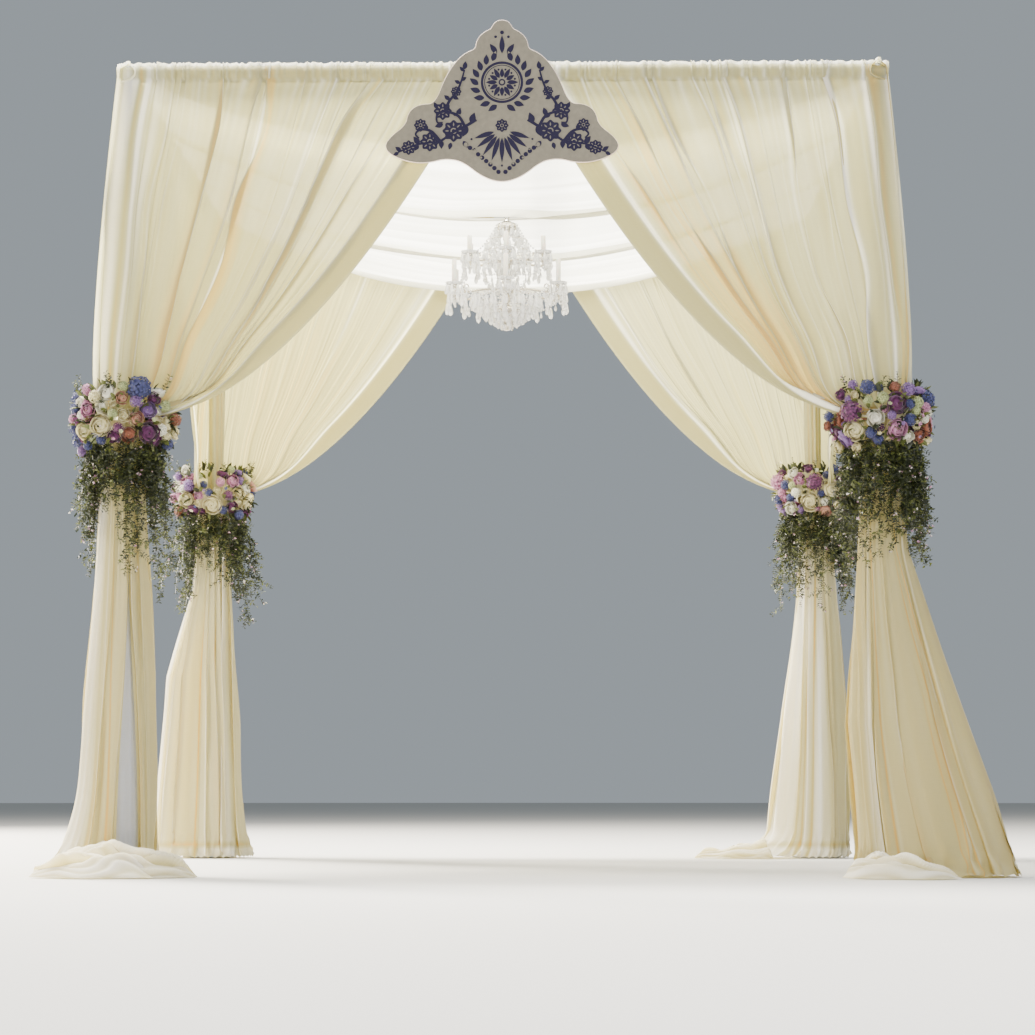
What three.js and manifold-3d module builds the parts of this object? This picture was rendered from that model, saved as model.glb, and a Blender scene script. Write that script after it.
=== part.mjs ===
// Draped wedding arbor: four steel posts and crossbars dressed with sheer curtains,
// a sagging cloth ceiling, flower tie-backs, a shaped sign and a small chandelier.
// Millimetres, +Z up. The front faces -Y.
import * as THREE from 'three';
import { mergeVertices } from 'three/addons/utils/BufferGeometryUtils.js';
import Module from 'manifold-3d';

const wasm = await Module();
wasm.setup();

// Driving sizes
const span = 3050;            // between post axes, both ways
const topHeight = 3300;       // top of the cloth header
const tieHeight = 1820;       // where the cloth is gathered at each post
const seatGap = 0.3;          // between solids that touch
const pipeRadius = 25;        // upright
const pipeWall = 3;
const railRadius = 24;
const railDrop = 50;          // rail axis below the top of the header
const roundSides = 16;

const half = span / 2;
const railHeight = topHeight - railDrop;
const postTop = railHeight + 30;

// Floor plates under the posts
const plate = { radius: 100, thickness: 10, spigotRadius: 21.6, spigotHeight: 160 };

// Cloth
const cloth = {
  neckRadius: 85,             // bundle at the tie
  footRadius: 210,            // plain leg at the floor
  slab: 10,                   // depth that the sheer pleats fill
  inner: 26,                  // inner face, outside the rail's plane
  pocketRadius: 32,
  pocketBore: 24.5,
  cornerTop: 36,              // outer corner edge beyond the post axis, at the top
  cornerBulge: 90,
  centreGap: 50,              // from the middle of the rail to the first thread
  sag: 0.6,                   // exponent of the inner edge's fall
};

// Ceiling strips
const ceiling = {
  low: 2865, thickness: 8, front: -1470, back: 1470, joint: 508, hole: 14,
  frontRise: 100,             // how far the front edge is drawn up behind the sign
  riseDepth: 320,
};

// Chandelier, hung between the front and the middle strip
const lamp = {
  y: -ceiling.joint, top: 2846, bottom: 2347, railRadius: 20,
  lowerHub: 2525, lowerReach: 262, lowerCup: 2528, lowerCandle: 118,
  upperHub: 2655, upperReach: 186, upperCup: 2672, upperCandle: 84,
  arms: 6, candleRadius: 11, armRadius: 6, ringRadius: 26, wire: 3,
};

// Sign board over the middle of the front rail
const sign = { top: 3455, bottom: 2792, reach: 472, thickness: 12, standOff: 46 };

// Bouquets and greenery
const bouquet = { radius: 222, low: 1680, high: 1978 };
const greenery = { depth: 62, tip: 12, low: 1110, scallop: 190 };

const material = (color, roughness, metalness = 0) =>
  new THREE.MeshStandardMaterial({ color, roughness, metalness });

const steel = material(0xa8abad, 0.4, 0.9);
const blackSteel = material(0x2b2b2c, 0.6, 0.6);
const voile = material(0xece6d3, 0.85);
const brightVoile = material(0xfaf8f0, 0.8);
const board = material(0xa59e90, 0.7);
const petals = material(0xcdbfae, 0.8);
const leaves = material(0x3f5132, 0.75);
const nickel = material(0xc9c4b8, 0.25, 0.9);
const crystal = material(0xe6edf2, 0.05);

const arbor = new THREE.Group();

function add(name, geometry, finish) {
  const mesh = new THREE.Mesh(geometry, finish);
  mesh.name = name;
  arbor.add(mesh);
}

// Solids for joining and cutting
function solidOf(geometry) {
  const bare = geometry.clone();
  bare.deleteAttribute('normal');
  bare.deleteAttribute('uv');
  const merged = mergeVertices(bare, 0.001);
  return new wasm.Manifold(new wasm.Mesh({
    numProp: 3,
    vertProperties: new Float32Array(merged.attributes.position.array),
    triVerts: new Uint32Array(merged.index.array),
  }));
}

function geometryOf(solid) {
  const mesh = solid.getMesh();
  const geometry = new THREE.BufferGeometry();
  geometry.setAttribute('position', new THREE.BufferAttribute(mesh.vertProperties, 3));
  geometry.setIndex(new THREE.BufferAttribute(mesh.triVerts, 1));
  return geometry;
}

const join = (...geometries) =>
  geometryOf(geometries.map(solidOf).reduce((whole, next) => whole.add(next)));

function cut(geometry, ...tools) {
  return geometryOf(tools.map(solidOf).reduce((rest, tool) => rest.subtract(tool), solidOf(geometry)));
}

// Mesh of points and faces, turned right side out by the sign of its volume
function closedMesh(points, faces) {
  const geometry = new THREE.BufferGeometry();
  geometry.setAttribute('position', new THREE.Float32BufferAttribute(points.flat(), 3));
  let volume = 0;
  for (const [a, b, c] of faces) {
    const corner = new THREE.Vector3(...points[b]).cross(new THREE.Vector3(...points[c]));
    volume += new THREE.Vector3(...points[a]).dot(corner);
  }
  const outward = volume < 0 ? faces.map(([a, b, c]) => [a, c, b]) : faces;
  geometry.setIndex(outward.flat());
  return geometry;
}

// Slab between two grids of the same size, closed round its four edges
function slabBetween(outerGrid, innerGrid) {
  const rows = outerGrid.length;
  const columns = outerGrid[0].length;
  const points = [...outerGrid.flat(), ...innerGrid.flat()];
  const at = (layer, row, column) => layer * rows * columns + row * columns + column;
  const faces = [];
  const quad = (a, b, c, d) => faces.push([a, b, c], [a, c, d]);
  for (let row = 0; row < rows - 1; row++) {
    for (let column = 0; column < columns - 1; column++) {
      quad(at(0, row, column), at(0, row, column + 1), at(0, row + 1, column + 1), at(0, row + 1, column));
      quad(at(1, row, column), at(1, row + 1, column), at(1, row + 1, column + 1), at(1, row, column + 1));
    }
  }
  for (let row = 0; row < rows - 1; row++) {
    const last = columns - 1;
    quad(at(0, row, 0), at(0, row + 1, 0), at(1, row + 1, 0), at(1, row, 0));
    quad(at(0, row, last), at(1, row, last), at(1, row + 1, last), at(0, row + 1, last));
  }
  for (let column = 0; column < columns - 1; column++) {
    const last = rows - 1;
    quad(at(0, 0, column), at(1, 0, column), at(1, 0, column + 1), at(0, 0, column + 1));
    quad(at(0, last, column), at(0, last, column + 1), at(1, last, column + 1), at(1, last, column));
  }
  return closedMesh(points, faces);
}

// Sleeve between an outer and an inner stack of rings, closed at its two ends
function sleeveBetween(outerRings, innerRings) {
  const sides = outerRings[0].length;
  const points = [...outerRings.flat(), ...innerRings.flat()];
  const faces = [];
  const quad = (a, b, c, d) => faces.push([a, b, c], [a, c, d]);
  const wall = (start, rings, flip) => {
    for (let ring = 0; ring < rings - 1; ring++) {
      for (let side = 0; side < sides; side++) {
        const next = (side + 1) % sides;
        const low = start + ring * sides;
        const high = low + sides;
        if (flip) quad(low + side, high + side, high + next, low + next);
        else quad(low + side, low + next, high + next, high + side);
      }
    }
  };
  const innerStart = outerRings.length * sides;
  wall(0, outerRings.length, false);
  wall(innerStart, innerRings.length, true);
  const rim = (outer, inner, flip) => {
    for (let side = 0; side < sides; side++) {
      const next = (side + 1) % sides;
      if (flip) quad(outer + side, inner + side, inner + next, outer + next);
      else quad(outer + side, outer + next, inner + next, inner + side);
    }
  };
  rim(0, innerStart, true);
  rim((outerRings.length - 1) * sides, innerStart + (innerRings.length - 1) * sides, false);
  return closedMesh(points, faces);
}

// Round pieces
function tube(outer, bore, length, sides = roundSides) {
  const profile = [[bore, 0], [outer, 0], [outer, length], [bore, length], [bore, 0]];
  const points = profile.map(([radius, height]) => new THREE.Vector2(radius, height));
  return new THREE.LatheGeometry(points, sides).rotateX(Math.PI / 2);
}

function lathe(profile, sides = roundSides) {
  const points = profile.map(([radius, height]) => new THREE.Vector2(radius, height));
  return new THREE.LatheGeometry(points, sides).rotateX(Math.PI / 2);
}

const rod = (radius, length, sides = roundSides) =>
  new THREE.CylinderGeometry(radius, radius, length, sides).rotateX(Math.PI / 2).translate(0, 0, length / 2);

// Flat plate from an outline in the X-Z plane, centred on Y
function uprightPlate(outline, thickness) {
  const shape = new THREE.Shape(outline.map(([x, z]) => new THREE.Vector2(x, z)));
  return new THREE.ExtrudeGeometry(shape, { depth: thickness, bevelEnabled: false })
    .translate(0, 0, -thickness / 2).rotateX(Math.PI / 2);
}

const corners = [
  { name: 'front_left', x: -1, y: -1 },
  { name: 'front_right', x: 1, y: -1 },
  { name: 'back_left', x: -1, y: 1 },
  { name: 'back_right', x: 1, y: 1 },
];

// Posts, with open slots at the top for the rails' tongues, on floor plates
const tongue = { thickness: 3.4, low: railHeight - 10, tip: 10, hookDrop: 15 };
const slotWidth = tongue.thickness + 2 * seatGap;
const slotHeight = postTop - tongue.low + 1;

for (const corner of corners) {
  const axis = [corner.x * half, corner.y * half];
  const base = join(
    rod(plate.radius, plate.thickness, 2 * roundSides),
    rod(plate.spigotRadius, plate.thickness + plate.spigotHeight),
  );
  add(`base_${corner.name}`, base.translate(...axis, 0), blackSteel);

  const bottom = plate.thickness + seatGap;
  const upright = tube(pipeRadius, pipeRadius - pipeWall, postTop - bottom).translate(0, 0, bottom);
  const slotX = new THREE.BoxGeometry(pipeRadius, slotWidth, slotHeight);
  const slotY = new THREE.BoxGeometry(slotWidth, pipeRadius, slotHeight);
  const slotLevel = tongue.low - seatGap + slotHeight / 2;
  slotX.translate(-corner.x * (pipeRadius - 5), 0, slotLevel);
  slotY.translate(0, -corner.y * (pipeRadius - 5), slotLevel);
  add(`post_${corner.name}`, cut(upright, slotX, slotY).translate(...axis, 0), steel);
}

// Rails between the posts, along X here. Each tongue hooks over the post's wall.
function railGeometry() {
  const end = half - pipeRadius - 1;
  const bar = tube(railRadius, railRadius - pipeWall, 2 * end).translate(0, 0, -end).rotateY(Math.PI / 2);
  const wallInside = pipeRadius - pipeWall - 2 * seatGap;
  const hook = [
    [end - 40, -railRadius + 2], [end + 0.4, -railRadius + 2], [end + 0.4, tongue.low - railHeight],
    [half - wallInside, tongue.low - railHeight], [half - wallInside, tongue.low - railHeight - tongue.hookDrop],
    [half - tongue.tip, tongue.low - railHeight - tongue.hookDrop], [half - tongue.tip, railRadius - 4],
    [end - 40, railRadius - 4],
  ];
  const hooks = [1, -1].map((side) =>
    uprightPlate(hook.map(([x, z]) => [side * x, z]), tongue.thickness));
  return join(bar, ...hooks);
}

const rails = [
  { name: 'rail_front', turn: 0, place: [0, -half] },
  { name: 'rail_back', turn: 0, place: [0, half] },
  { name: 'rail_left', turn: Math.PI / 2, place: [-half, 0] },
  { name: 'rail_right', turn: Math.PI / 2, place: [half, 0] },
];
for (const rail of rails) {
  add(rail.name, railGeometry().rotateZ(rail.turn).translate(...rail.place, railHeight), steel);
}

// Hook profile that lies over a rail, in the plane across the rail. Outward is negative.
const overRail = railRadius + seatGap + 0.1;
const hookPlate = 5.6;

// Cross bar for the chandelier, hooked over the front and the back rail where the curtains part
function chandelierRail() {
  const reach = half - overRail;
  const bar = tube(lamp.railRadius, lamp.railRadius - pipeWall, 2 * reach)
    .translate(0, 0, -reach).rotateX(Math.PI / 2);
  const outline = [
    [60, lamp.railRadius - 3], [60, overRail + hookPlate], [-overRail - hookPlate, overRail + hookPlate],
    [-overRail - hookPlate, 0], [-overRail, 0], [-overRail, overRail], [40, overRail],
    [40, lamp.railRadius - 3],
  ];
  const hooks = [1, -1].map((side) => {
    const flipped = outline.map(([x, z]) => [side * (x - half), z]);
    return uprightPlate(flipped, 30).rotateZ(Math.PI / 2);
  });
  return join(bar, ...hooks).translate(0, 0, railHeight);
}
add('chandelier_rail', chandelierRail(), steel);

// Sign board: a crowned outline with a knob, shoulders, ears and round wing tips, the same on both sides
function signGeometry() {
  const { top, bottom, reach } = sign;
  const shape = new THREE.Shape();
  shape.moveTo(0, top);
  const side = [
    [26, top, 38, top - 24],
    [42, top - 34, 54, top - 40],
    [100, top - 62, 105, top - 102],
    [107, top - 118, 122, top - 124],
    [200, top - 152, 252, top - 292],
    [272, top - 344, 300, top - 346],
    [372, top - 346, 386, top - 404],
    [388, top - 432, 430, top - 462],
    [reach, top - 496, reach, top - 518],
    [reach, top - 552, 392, top - 576],
    [330, top - 594, 268, top - 578],
    [230, top - 566, 186, top - 576],
    [160, top - 582, 128, top - 606],
    [60, bottom, 0, bottom],
  ];
  side.forEach(([cx, cz, x, z]) => shape.quadraticCurveTo(cx, cz, x, z));
  for (let index = side.length - 1; index >= 0; index--) {
    const [cx, cz] = side[index];
    const [x, z] = index ? side[index - 1].slice(2) : [0, top];
    shape.quadraticCurveTo(-cx, cz, -x, z);
  }
  const face = -half - sign.standOff - seatGap;
  return new THREE.ExtrudeGeometry(shape, { depth: sign.thickness, bevelEnabled: false, curveSegments: 4 })
    .rotateX(Math.PI / 2).translate(0, face, 0);
}
add('sign_panel', signGeometry(), board);

// Two straps over the front rail, joined by a cross plate behind the board
function signBracket() {
  const strapBack = 40;
  const outline = [
    [overRail, 0], [overRail + hookPlate, 0], [overRail + hookPlate, overRail + hookPlate],
    [-sign.standOff, overRail + hookPlate], [-sign.standOff, -220], [-strapBack, -220],
    [-strapBack, overRail], [overRail, overRail],
  ];
  const straps = [1, -1].map((side) =>
    uprightPlate(outline, 12).rotateZ(Math.PI / 2).translate(side * 34, -half, railHeight));
  const bar = new THREE.BoxGeometry(80, sign.standOff - strapBack, 50);
  bar.translate(0, -half - (sign.standOff + strapBack) / 2, railHeight - 195);
  return join(...straps, bar);
}
add('sign_bracket', signBracket(), blackSteel);

// Ceiling strips, held between the rod pockets of the side curtains
function ceilingStrip(front, back, holes) {
  const reach = half - cloth.pocketRadius - seatGap;
  const segments = 20;
  const rise = front === ceiling.front ? ceiling.frontRise : 0;
  const grid = (lift) => Array.from({ length: segments + 1 }, (_, index) => {
    const share = 2 * index / segments - 1;
    const x = reach * share;
    const z = ceiling.low + (railHeight - ceiling.low) * share ** 2 + lift;
    const edge = z + rise * (1 - share ** 2);
    if (rise === 0) return [[x, front, z], [x, back, z]];
    return [[x, front, edge], [x, front + ceiling.riseDepth, z], [x, back, z]];
  });
  const strip = slabBetween(grid(ceiling.thickness / 2), grid(-ceiling.thickness / 2));
  const drills = holes.map((y) => rod(ceiling.hole, 80).translate(0, y, ceiling.low - 40));
  return holes.length ? cut(strip, ...drills) : strip;
}
const stripGap = seatGap / 2;
add('ceiling_front', ceilingStrip(ceiling.front, -ceiling.joint - stripGap, [lamp.y]), brightVoile);
add('ceiling_middle', ceilingStrip(-ceiling.joint + stripGap, ceiling.joint - stripGap, [lamp.y]), brightVoile);
add('ceiling_rear', ceilingStrip(ceiling.joint + stripGap, ceiling.back, []), brightVoile);

// A curtain in its own frame: s along the rail from the post axis, o outwards, z up.
// Threads start side by side on the rail and end as a bundle against the post.
const smooth = (x) => {
  const t = Math.min(Math.max(x, 0), 1);
  return t * t * (3 - 2 * t);
};

function curtainPoint(across, up, outer, grow) {
  const neck = cloth.neckRadius + grow;
  const inset = cloth.inner + 1 - grow;
  const bundleEnd = 72;
  const edge = outer ? Math.SQRT1_2 * neck : inset;
  const neckS = -edge + across * (edge + bundleEnd);
  const neckO = outer ? Math.max(Math.sqrt(Math.max(neck ** 2 - neckS ** 2, 0)), inset + 12) : inset;
  const face = outer ? cloth.inner + cloth.slab + grow : cloth.inner - grow;
  const corner = outer ? cloth.cornerTop + grow : cloth.cornerTop - cloth.slab - grow;
  const topS = -corner + across * (half - cloth.centreGap + corner);
  const fall = 1 - (1 - cloth.sag) * across ** 1.2;
  const bulge = cloth.cornerBulge * (1 - up) * up ** 0.25 * (1 - across) ** 3;
  const s = neckS + (topS - neckS) * up ** fall - bulge;
  const flatO = face + (corner - face) * (1 - across) ** 3;
  const blend = across === 0 ? up : smooth(up / 0.15) * across + up * (1 - across);
  const o = neckO + (flatO - neckO) * blend + bulge;
  const widen = 1.5 * grow * (2 * across - 1);
  return [s + seatGap + widen, o, tieHeight + seatGap + up * (topHeight - tieHeight - seatGap)];
}

function curtainGrid(outer, grow = 0) {
  const across = 10;
  const up = 8;
  return Array.from({ length: up + 1 }, (_, row) =>
    Array.from({ length: across + 1 }, (__, column) =>
      curtainPoint(column / across, (row / up) ** 2, outer, grow)));
}

// The room that a curtain takes up, filled back to the rail's plane and 1 mm larger all round
function curtainRoom() {
  const outside = curtainGrid(true, 1);
  return slabBetween(outside, outside.map((row) => row.map(([s, , z]) => [s, 0, z])));
}

function curtainGeometry() {
  const start = pipeRadius + 9;
  const length = half - cloth.centreGap - start;
  const pocket = tube(cloth.pocketRadius, cloth.pocketBore, length).rotateY(Math.PI / 2);
  const slab = slabBetween(curtainGrid(true), curtainGrid(false));
  return join(slab, pocket.translate(start, 0, railHeight));
}

// Places a curtain at a corner, along X or along Y, and turns it right side out again
function placeCurtain(geometry, corner, alongX) {
  const place = new THREE.Matrix4();
  if (alongX) {
    place.set(-corner.x, 0, 0, corner.x * half, 0, corner.y, 0, corner.y * half, 0, 0, 1, 0, 0, 0, 0, 1);
  } else {
    place.set(0, corner.x, 0, corner.x * half, -corner.y, 0, 0, corner.y * half, 0, 0, 1, 0, 0, 0, 0, 1);
  }
  const placed = geometry.clone().applyMatrix4(place);
  if (place.determinant() < 0) {
    const index = placed.index.array;
    for (let face = 0; face < index.length; face += 3) {
      [index[face + 1], index[face + 2]] = [index[face + 2], index[face + 1]];
    }
  }
  return placed;
}

const curtain = curtainGeometry();
for (const corner of corners) {
  const [depth, side] = corner.name.split('_');
  add(`curtain_${depth}_${side}`, placeCurtain(curtain, corner, true), voile);
  add(`curtain_${side}_${depth}`, placeCurtain(curtain, corner, false), voile);
}

// Cloth below the tie. Lobes push the leg's foot out, or pull it in, towards an angle.
const lobes = {
  front_left: [
    { angle: 180, reach: 115, from: 400, power: 2, narrow: 2 },
    { angle: 0, reach: -54, from: 800, power: 1, narrow: 2 },
    { angle: 285, reach: 370, from: 170, power: 0.8, narrow: 4 },
  ],
  front_right: [
    { angle: -20, reach: 350, from: 1300, power: 1.15, narrow: 2 },
    { angle: 180, reach: -95, from: 600, power: 1, narrow: 2 },
    { angle: 262, reach: 340, from: 100, power: 0.8, narrow: 4 },
  ],
  back_left: [
    { angle: 180, reach: 305, from: 1350, power: 1, narrow: 2 },
    { angle: 180, reach: -190, from: 900, power: 1, narrow: 2 },
    { angle: 0, reach: 25, from: 200, power: 2, narrow: 2 },
  ],
  back_right: [
    { angle: 180, reach: 100, from: 1300, power: 1, narrow: 3.1 },
    { angle: 180, reach: 200, from: 150, power: 2.2, narrow: 3.1 },
    { angle: 0, reach: -50, from: 500, power: 1, narrow: 2 },
  ],
};

function legRadius(name, angle, z) {
  let radius = cloth.neckRadius + (cloth.footRadius - cloth.neckRadius) * (1 - z / tieHeight);
  for (const lobe of lobes[name]) {
    const facing = Math.cos(angle - THREE.MathUtils.degToRad(lobe.angle));
    if (facing > 0 && z < lobe.from) {
      radius += lobe.reach * facing ** lobe.narrow * (1 - z / lobe.from) ** lobe.power;
    }
  }
  return radius;
}

const legSides = 24;
const ring = (radiusAt, heightAt) => Array.from({ length: legSides }, (_, side) => {
  const angle = 2 * Math.PI * side / legSides;
  const radius = radiusAt(angle);
  return [radius * Math.cos(angle), radius * Math.sin(angle), heightAt(angle)];
});

const legLevels = [0, 25, 60, 105, 165, 300, 550, 900, 1350, tieHeight];

// The faceted leg's own radius, straight between two levels
function legSurface(name, angle, z) {
  const above = Math.max(legLevels.findIndex((level) => level >= z), 1);
  const [low, high] = [legLevels[above - 1], legLevels[above]];
  const share = (z - low) / (high - low);
  return legRadius(name, angle, low) * (1 - share) + legRadius(name, angle, high) * share;
}

function legDrape(name) {
  const outer = legLevels.map((z) => ring((angle) => legRadius(name, angle, z), () => z));
  const neckBore = pipeRadius + 0.5;
  const inner = [ring(() => plate.radius + 2, () => 0), ring(() => neckBore, () => tieHeight)];
  return sleeveBetween(outer, inner);
}

const bouquetSides = 16;

// Bouquet ring round the neck, cut clear of the two curtains that come down into it
function bouquetGeometry(name, corner) {
  const middle = (bouquet.low + bouquet.high) / 2;
  const rise = (bouquet.high - bouquet.low) / 2;
  const flat = Math.cos(Math.PI / bouquetSides);
  const hug = (z) => (legRadius(name, 0, Math.min(z, tieHeight)) + seatGap) / flat;
  const profile = [[hug(bouquet.low), bouquet.low]];
  for (let step = 0; step <= 5; step++) {
    const angle = -Math.PI / 2 + Math.PI * step / 5;
    const reach = 0.72 * bouquet.radius + 0.28 * bouquet.radius * Math.cos(angle);
    profile.push([reach, middle + rise * Math.sin(angle)]);
  }
  profile.push([hug(tieHeight), bouquet.high], [hug(tieHeight), tieHeight]);
  profile.push([hug(bouquet.low), bouquet.low]);
  const cutter = curtainRoom();
  const cutters = [true, false].map((alongX) => placeCurtain(cutter, corner, alongX)
    .translate(-corner.x * half, -corner.y * half, -2 * seatGap));
  return cut(lathe(profile, bouquetSides), ...cutters);
}

// Skirt of greenery below the bouquet, with a scalloped lower edge
function foliageGeometry(name) {
  const top = bouquet.low - seatGap;
  const tip = (angle) => greenery.low + greenery.scallop * Math.cos(1.5 * (angle + Math.PI / 3)) ** 2;
  const level = (angle, share) => top + (tip(angle) - top) * share;
  const stack = (outer) => [0, 0.3, 0.65, 1].map((share) => ring(
    (angle) => legSurface(name, angle, level(angle, share)) + 9
      + (outer ? greenery.depth + (greenery.tip - greenery.depth) * share : 0),
    (angle) => level(angle, share),
  ));
  return sleeveBetween(stack(true), stack(false));
}

for (const corner of corners) {
  const axis = [corner.x * half, corner.y * half, 0];
  add(`leg_drape_${corner.name}`, legDrape(corner.name).translate(...axis), voile);
  add(`flower_tieback_${corner.name}`, bouquetGeometry(corner.name, corner).translate(...axis), petals);
  add(`foliage_${corner.name}`, foliageGeometry(corner.name).translate(...axis), leaves);
}

// Chandelier chain: a ring over the cross bar, then links turned by quarters. The last link
// hangs in the eye on top of the column.
const eye = { radius: 9.5, lift: 7 };
function chainGeometry() {
  const ringLevel = railHeight + lamp.railRadius + seatGap - (lamp.ringRadius - lamp.wire);
  const hanger = new THREE.TorusGeometry(lamp.ringRadius, lamp.wire, 5, 14).rotateX(Math.PI / 2);
  const links = [hanger.translate(0, 0, ringLevel)];
  const start = ringLevel - lamp.ringRadius;
  const stretch = 1.5;
  const end = lamp.top + eye.lift + eye.radius - (1 + stretch) * lamp.wire - 3 * seatGap;
  const count = 13;           // odd, so that the last link lies across the eye
  const pitch = (start - end) / count;
  for (let index = 0; index < count; index++) {
    const link = new THREE.TorusGeometry(pitch / 2 / stretch, lamp.wire, 4, 8).scale(1, stretch, 1);
    link.rotateX(Math.PI / 2).rotateZ(index % 2 ? 0 : Math.PI / 2);
    links.push(link.translate(0, 0, start - pitch * (index + 0.5)));
  }
  return join(...links).translate(0, lamp.y, 0);
}
add('chandelier_chain', chainGeometry(), nickel);

// Chandelier column: ball finial, bowl, vases, hubs and crown
const hubRadius = 15;
function columnGeometry() {
  const b = lamp.bottom;
  const profile = [
    [0, b], [18, b + 6], [27, b + 22], [27, b + 34], [18, b + 50], [8, b + 56], [8, b + 62], [30, b + 74],
    [44, b + 92], [30, b + 110], [12, b + 120], [hubRadius, b + 140], [hubRadius, lamp.lowerHub + 26],
    [24, lamp.lowerHub + 48], [10, lamp.lowerHub + 78], [hubRadius, lamp.upperHub - 24],
    [hubRadius, lamp.upperHub + 26], [24, lamp.upperHub + 46], [8, lamp.upperHub + 74],
    [8, lamp.top - 76], [30, lamp.top - 62], [46, lamp.top - 30], [20, lamp.top - 14], [6, lamp.top - 8],
    [6, lamp.top], [0, lamp.top],
  ];
  const loop = new THREE.TorusGeometry(eye.radius, lamp.wire, 5, 10).rotateX(Math.PI / 2);
  return join(lathe(profile, 10), loop.translate(0, 0, lamp.top + eye.lift)).translate(0, lamp.y, 0);
}
add('chandelier_column', columnGeometry(), nickel);

// One tier: a hub ring, curved arms, drip pans and candle sleeves
function tierGeometry(hub, reach, cup, candle, dip) {
  const hubRing = tube(hubRadius + 12, hubRadius + seatGap + 0.1, 28).translate(0, 0, hub - 14);
  const parts = [hubRing];
  for (let arm = 0; arm < lamp.arms; arm++) {
    const turn = Math.PI / 6 + 2 * Math.PI * arm / lamp.arms;
    const path = new THREE.CubicBezierCurve3(
      new THREE.Vector3(hubRadius + 6, 0, hub), new THREE.Vector3(reach * 0.45, 0, hub + 0.45 * dip),
      new THREE.Vector3(reach * 1.02, 0, cup - 1.6 * dip), new THREE.Vector3(reach, 0, cup + 4),
    );
    const section = new THREE.Shape(Array.from({ length: 5 }, (_, side) => {
      const angle = 2 * Math.PI * side / 5;
      return new THREE.Vector2(lamp.armRadius * Math.cos(angle), lamp.armRadius * Math.sin(angle));
    }));
    const bow = new THREE.ExtrudeGeometry(section, { steps: 7, extrudePath: path });
    const pan = lathe([[0, cup - 6], [30, cup + 5], [30, cup + 9], [0, cup + 14]], 8).translate(reach, 0, 0);
    const sleeve = rod(lamp.candleRadius, candle, 8).translate(reach, 0, cup + 12);
    parts.push(...[bow, pan, sleeve].map((piece) => piece.rotateZ(turn)));
  }
  return join(...parts).translate(0, lamp.y, 0);
}
add('chandelier_lower_arms',
  tierGeometry(lamp.lowerHub, lamp.lowerReach, lamp.lowerCup, lamp.lowerCandle, 42), nickel);
add('chandelier_upper_arms',
  tierGeometry(lamp.upperHub, lamp.upperReach, lamp.upperCup, lamp.upperCandle, 30), nickel);

// Bowl of crystal drops under the lower tier, seated on the column's lower vase
function crystalBowl() {
  const low = lamp.bottom + 62;
  const seat = 8 + seatGap + 0.1;
  const profile = [
    [seat, low - 4], [38, low - 2], [76, low + 22], [112, low + 64], [134, low + 100], [128, low + 100],
    [104, low + 66], [70, low + 28], [36, low + 6], [seat, low - 1], [seat, low - 4],
  ];
  return lathe(profile, roundSides).translate(0, lamp.y, 0);
}
add('chandelier_crystals', crystalBowl(), crystal);

// The origin is on the floor, in the middle of the footprint. The two front feet spread further
// out than the others, so the footprint's middle is a little off the arbor's own.
const footprint = new THREE.Box3().setFromObject(arbor);
const middle = footprint.getCenter(new THREE.Vector3());
arbor.position.set(-Math.round(middle.x), -Math.round(middle.y), 0);

export default arbor;
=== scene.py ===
import math
import random

import bpy
import numpy as np
from mathutils import Matrix, Vector
from mathutils.kdtree import KDTree


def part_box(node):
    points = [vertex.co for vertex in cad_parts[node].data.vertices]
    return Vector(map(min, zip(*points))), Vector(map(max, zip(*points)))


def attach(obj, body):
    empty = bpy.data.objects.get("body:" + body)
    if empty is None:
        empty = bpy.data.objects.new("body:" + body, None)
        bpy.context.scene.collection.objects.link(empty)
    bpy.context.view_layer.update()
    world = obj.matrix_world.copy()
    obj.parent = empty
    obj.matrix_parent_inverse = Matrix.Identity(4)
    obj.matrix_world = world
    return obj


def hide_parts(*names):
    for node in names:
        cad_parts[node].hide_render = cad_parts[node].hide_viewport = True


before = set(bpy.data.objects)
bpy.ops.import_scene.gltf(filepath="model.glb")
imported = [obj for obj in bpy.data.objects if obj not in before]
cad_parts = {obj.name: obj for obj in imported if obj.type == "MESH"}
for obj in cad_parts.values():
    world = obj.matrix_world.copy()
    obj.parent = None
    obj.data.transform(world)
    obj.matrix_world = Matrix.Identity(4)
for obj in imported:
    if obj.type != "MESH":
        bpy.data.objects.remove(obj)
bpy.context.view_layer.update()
print("frame loaded:", len(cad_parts), "nodes")

cornerNames = ("front_left", "front_right", "back_left", "back_right")
cornerSign = {name: (1 if "right" in name else -1, 1 if "back" in name else -1) for name in cornerNames}


def boxMiddle(node):
    low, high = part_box(node)
    return (low + high) / 2


# Everything is placed from the posts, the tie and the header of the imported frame
postPlace = {name: boxMiddle("post_" + name) for name in cornerNames}
arborMiddle = sum(postPlace.values(), Vector()) / 4
half = (postPlace["front_right"].x - postPlace["front_left"].x) / 2
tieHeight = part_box("leg_drape_front_left")[1].z
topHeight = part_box("curtain_front_left")[1].z
railHeight = topHeight - 0.050  # the ruffle of a header stands this high over the rail's axis


def linearColour(hexText):
    parts = [int(hexText[place:place + 2], 16) / 255 for place in (0, 2, 4)]
    return (*(part / 12.92 if part <= 0.04045 else ((part + 0.055) / 1.055) ** 2.4 for part in parts), 1.0)


def addNode(tree, kind, inputs=None, **settings):
    node = tree.nodes.new(kind)
    for name, value in settings.items():
        setattr(node, name, value)
    for name, value in (inputs or {}).items():
        if isinstance(value, bpy.types.NodeSocket):
            tree.links.new(value, node.inputs[name])
        else:
            node.inputs[name].default_value = value
    return node


def newMaterial(name):
    material = bpy.data.materials.new(name)
    material.use_nodes = True
    material.node_tree.nodes.clear()
    return material, material.node_tree


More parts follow.
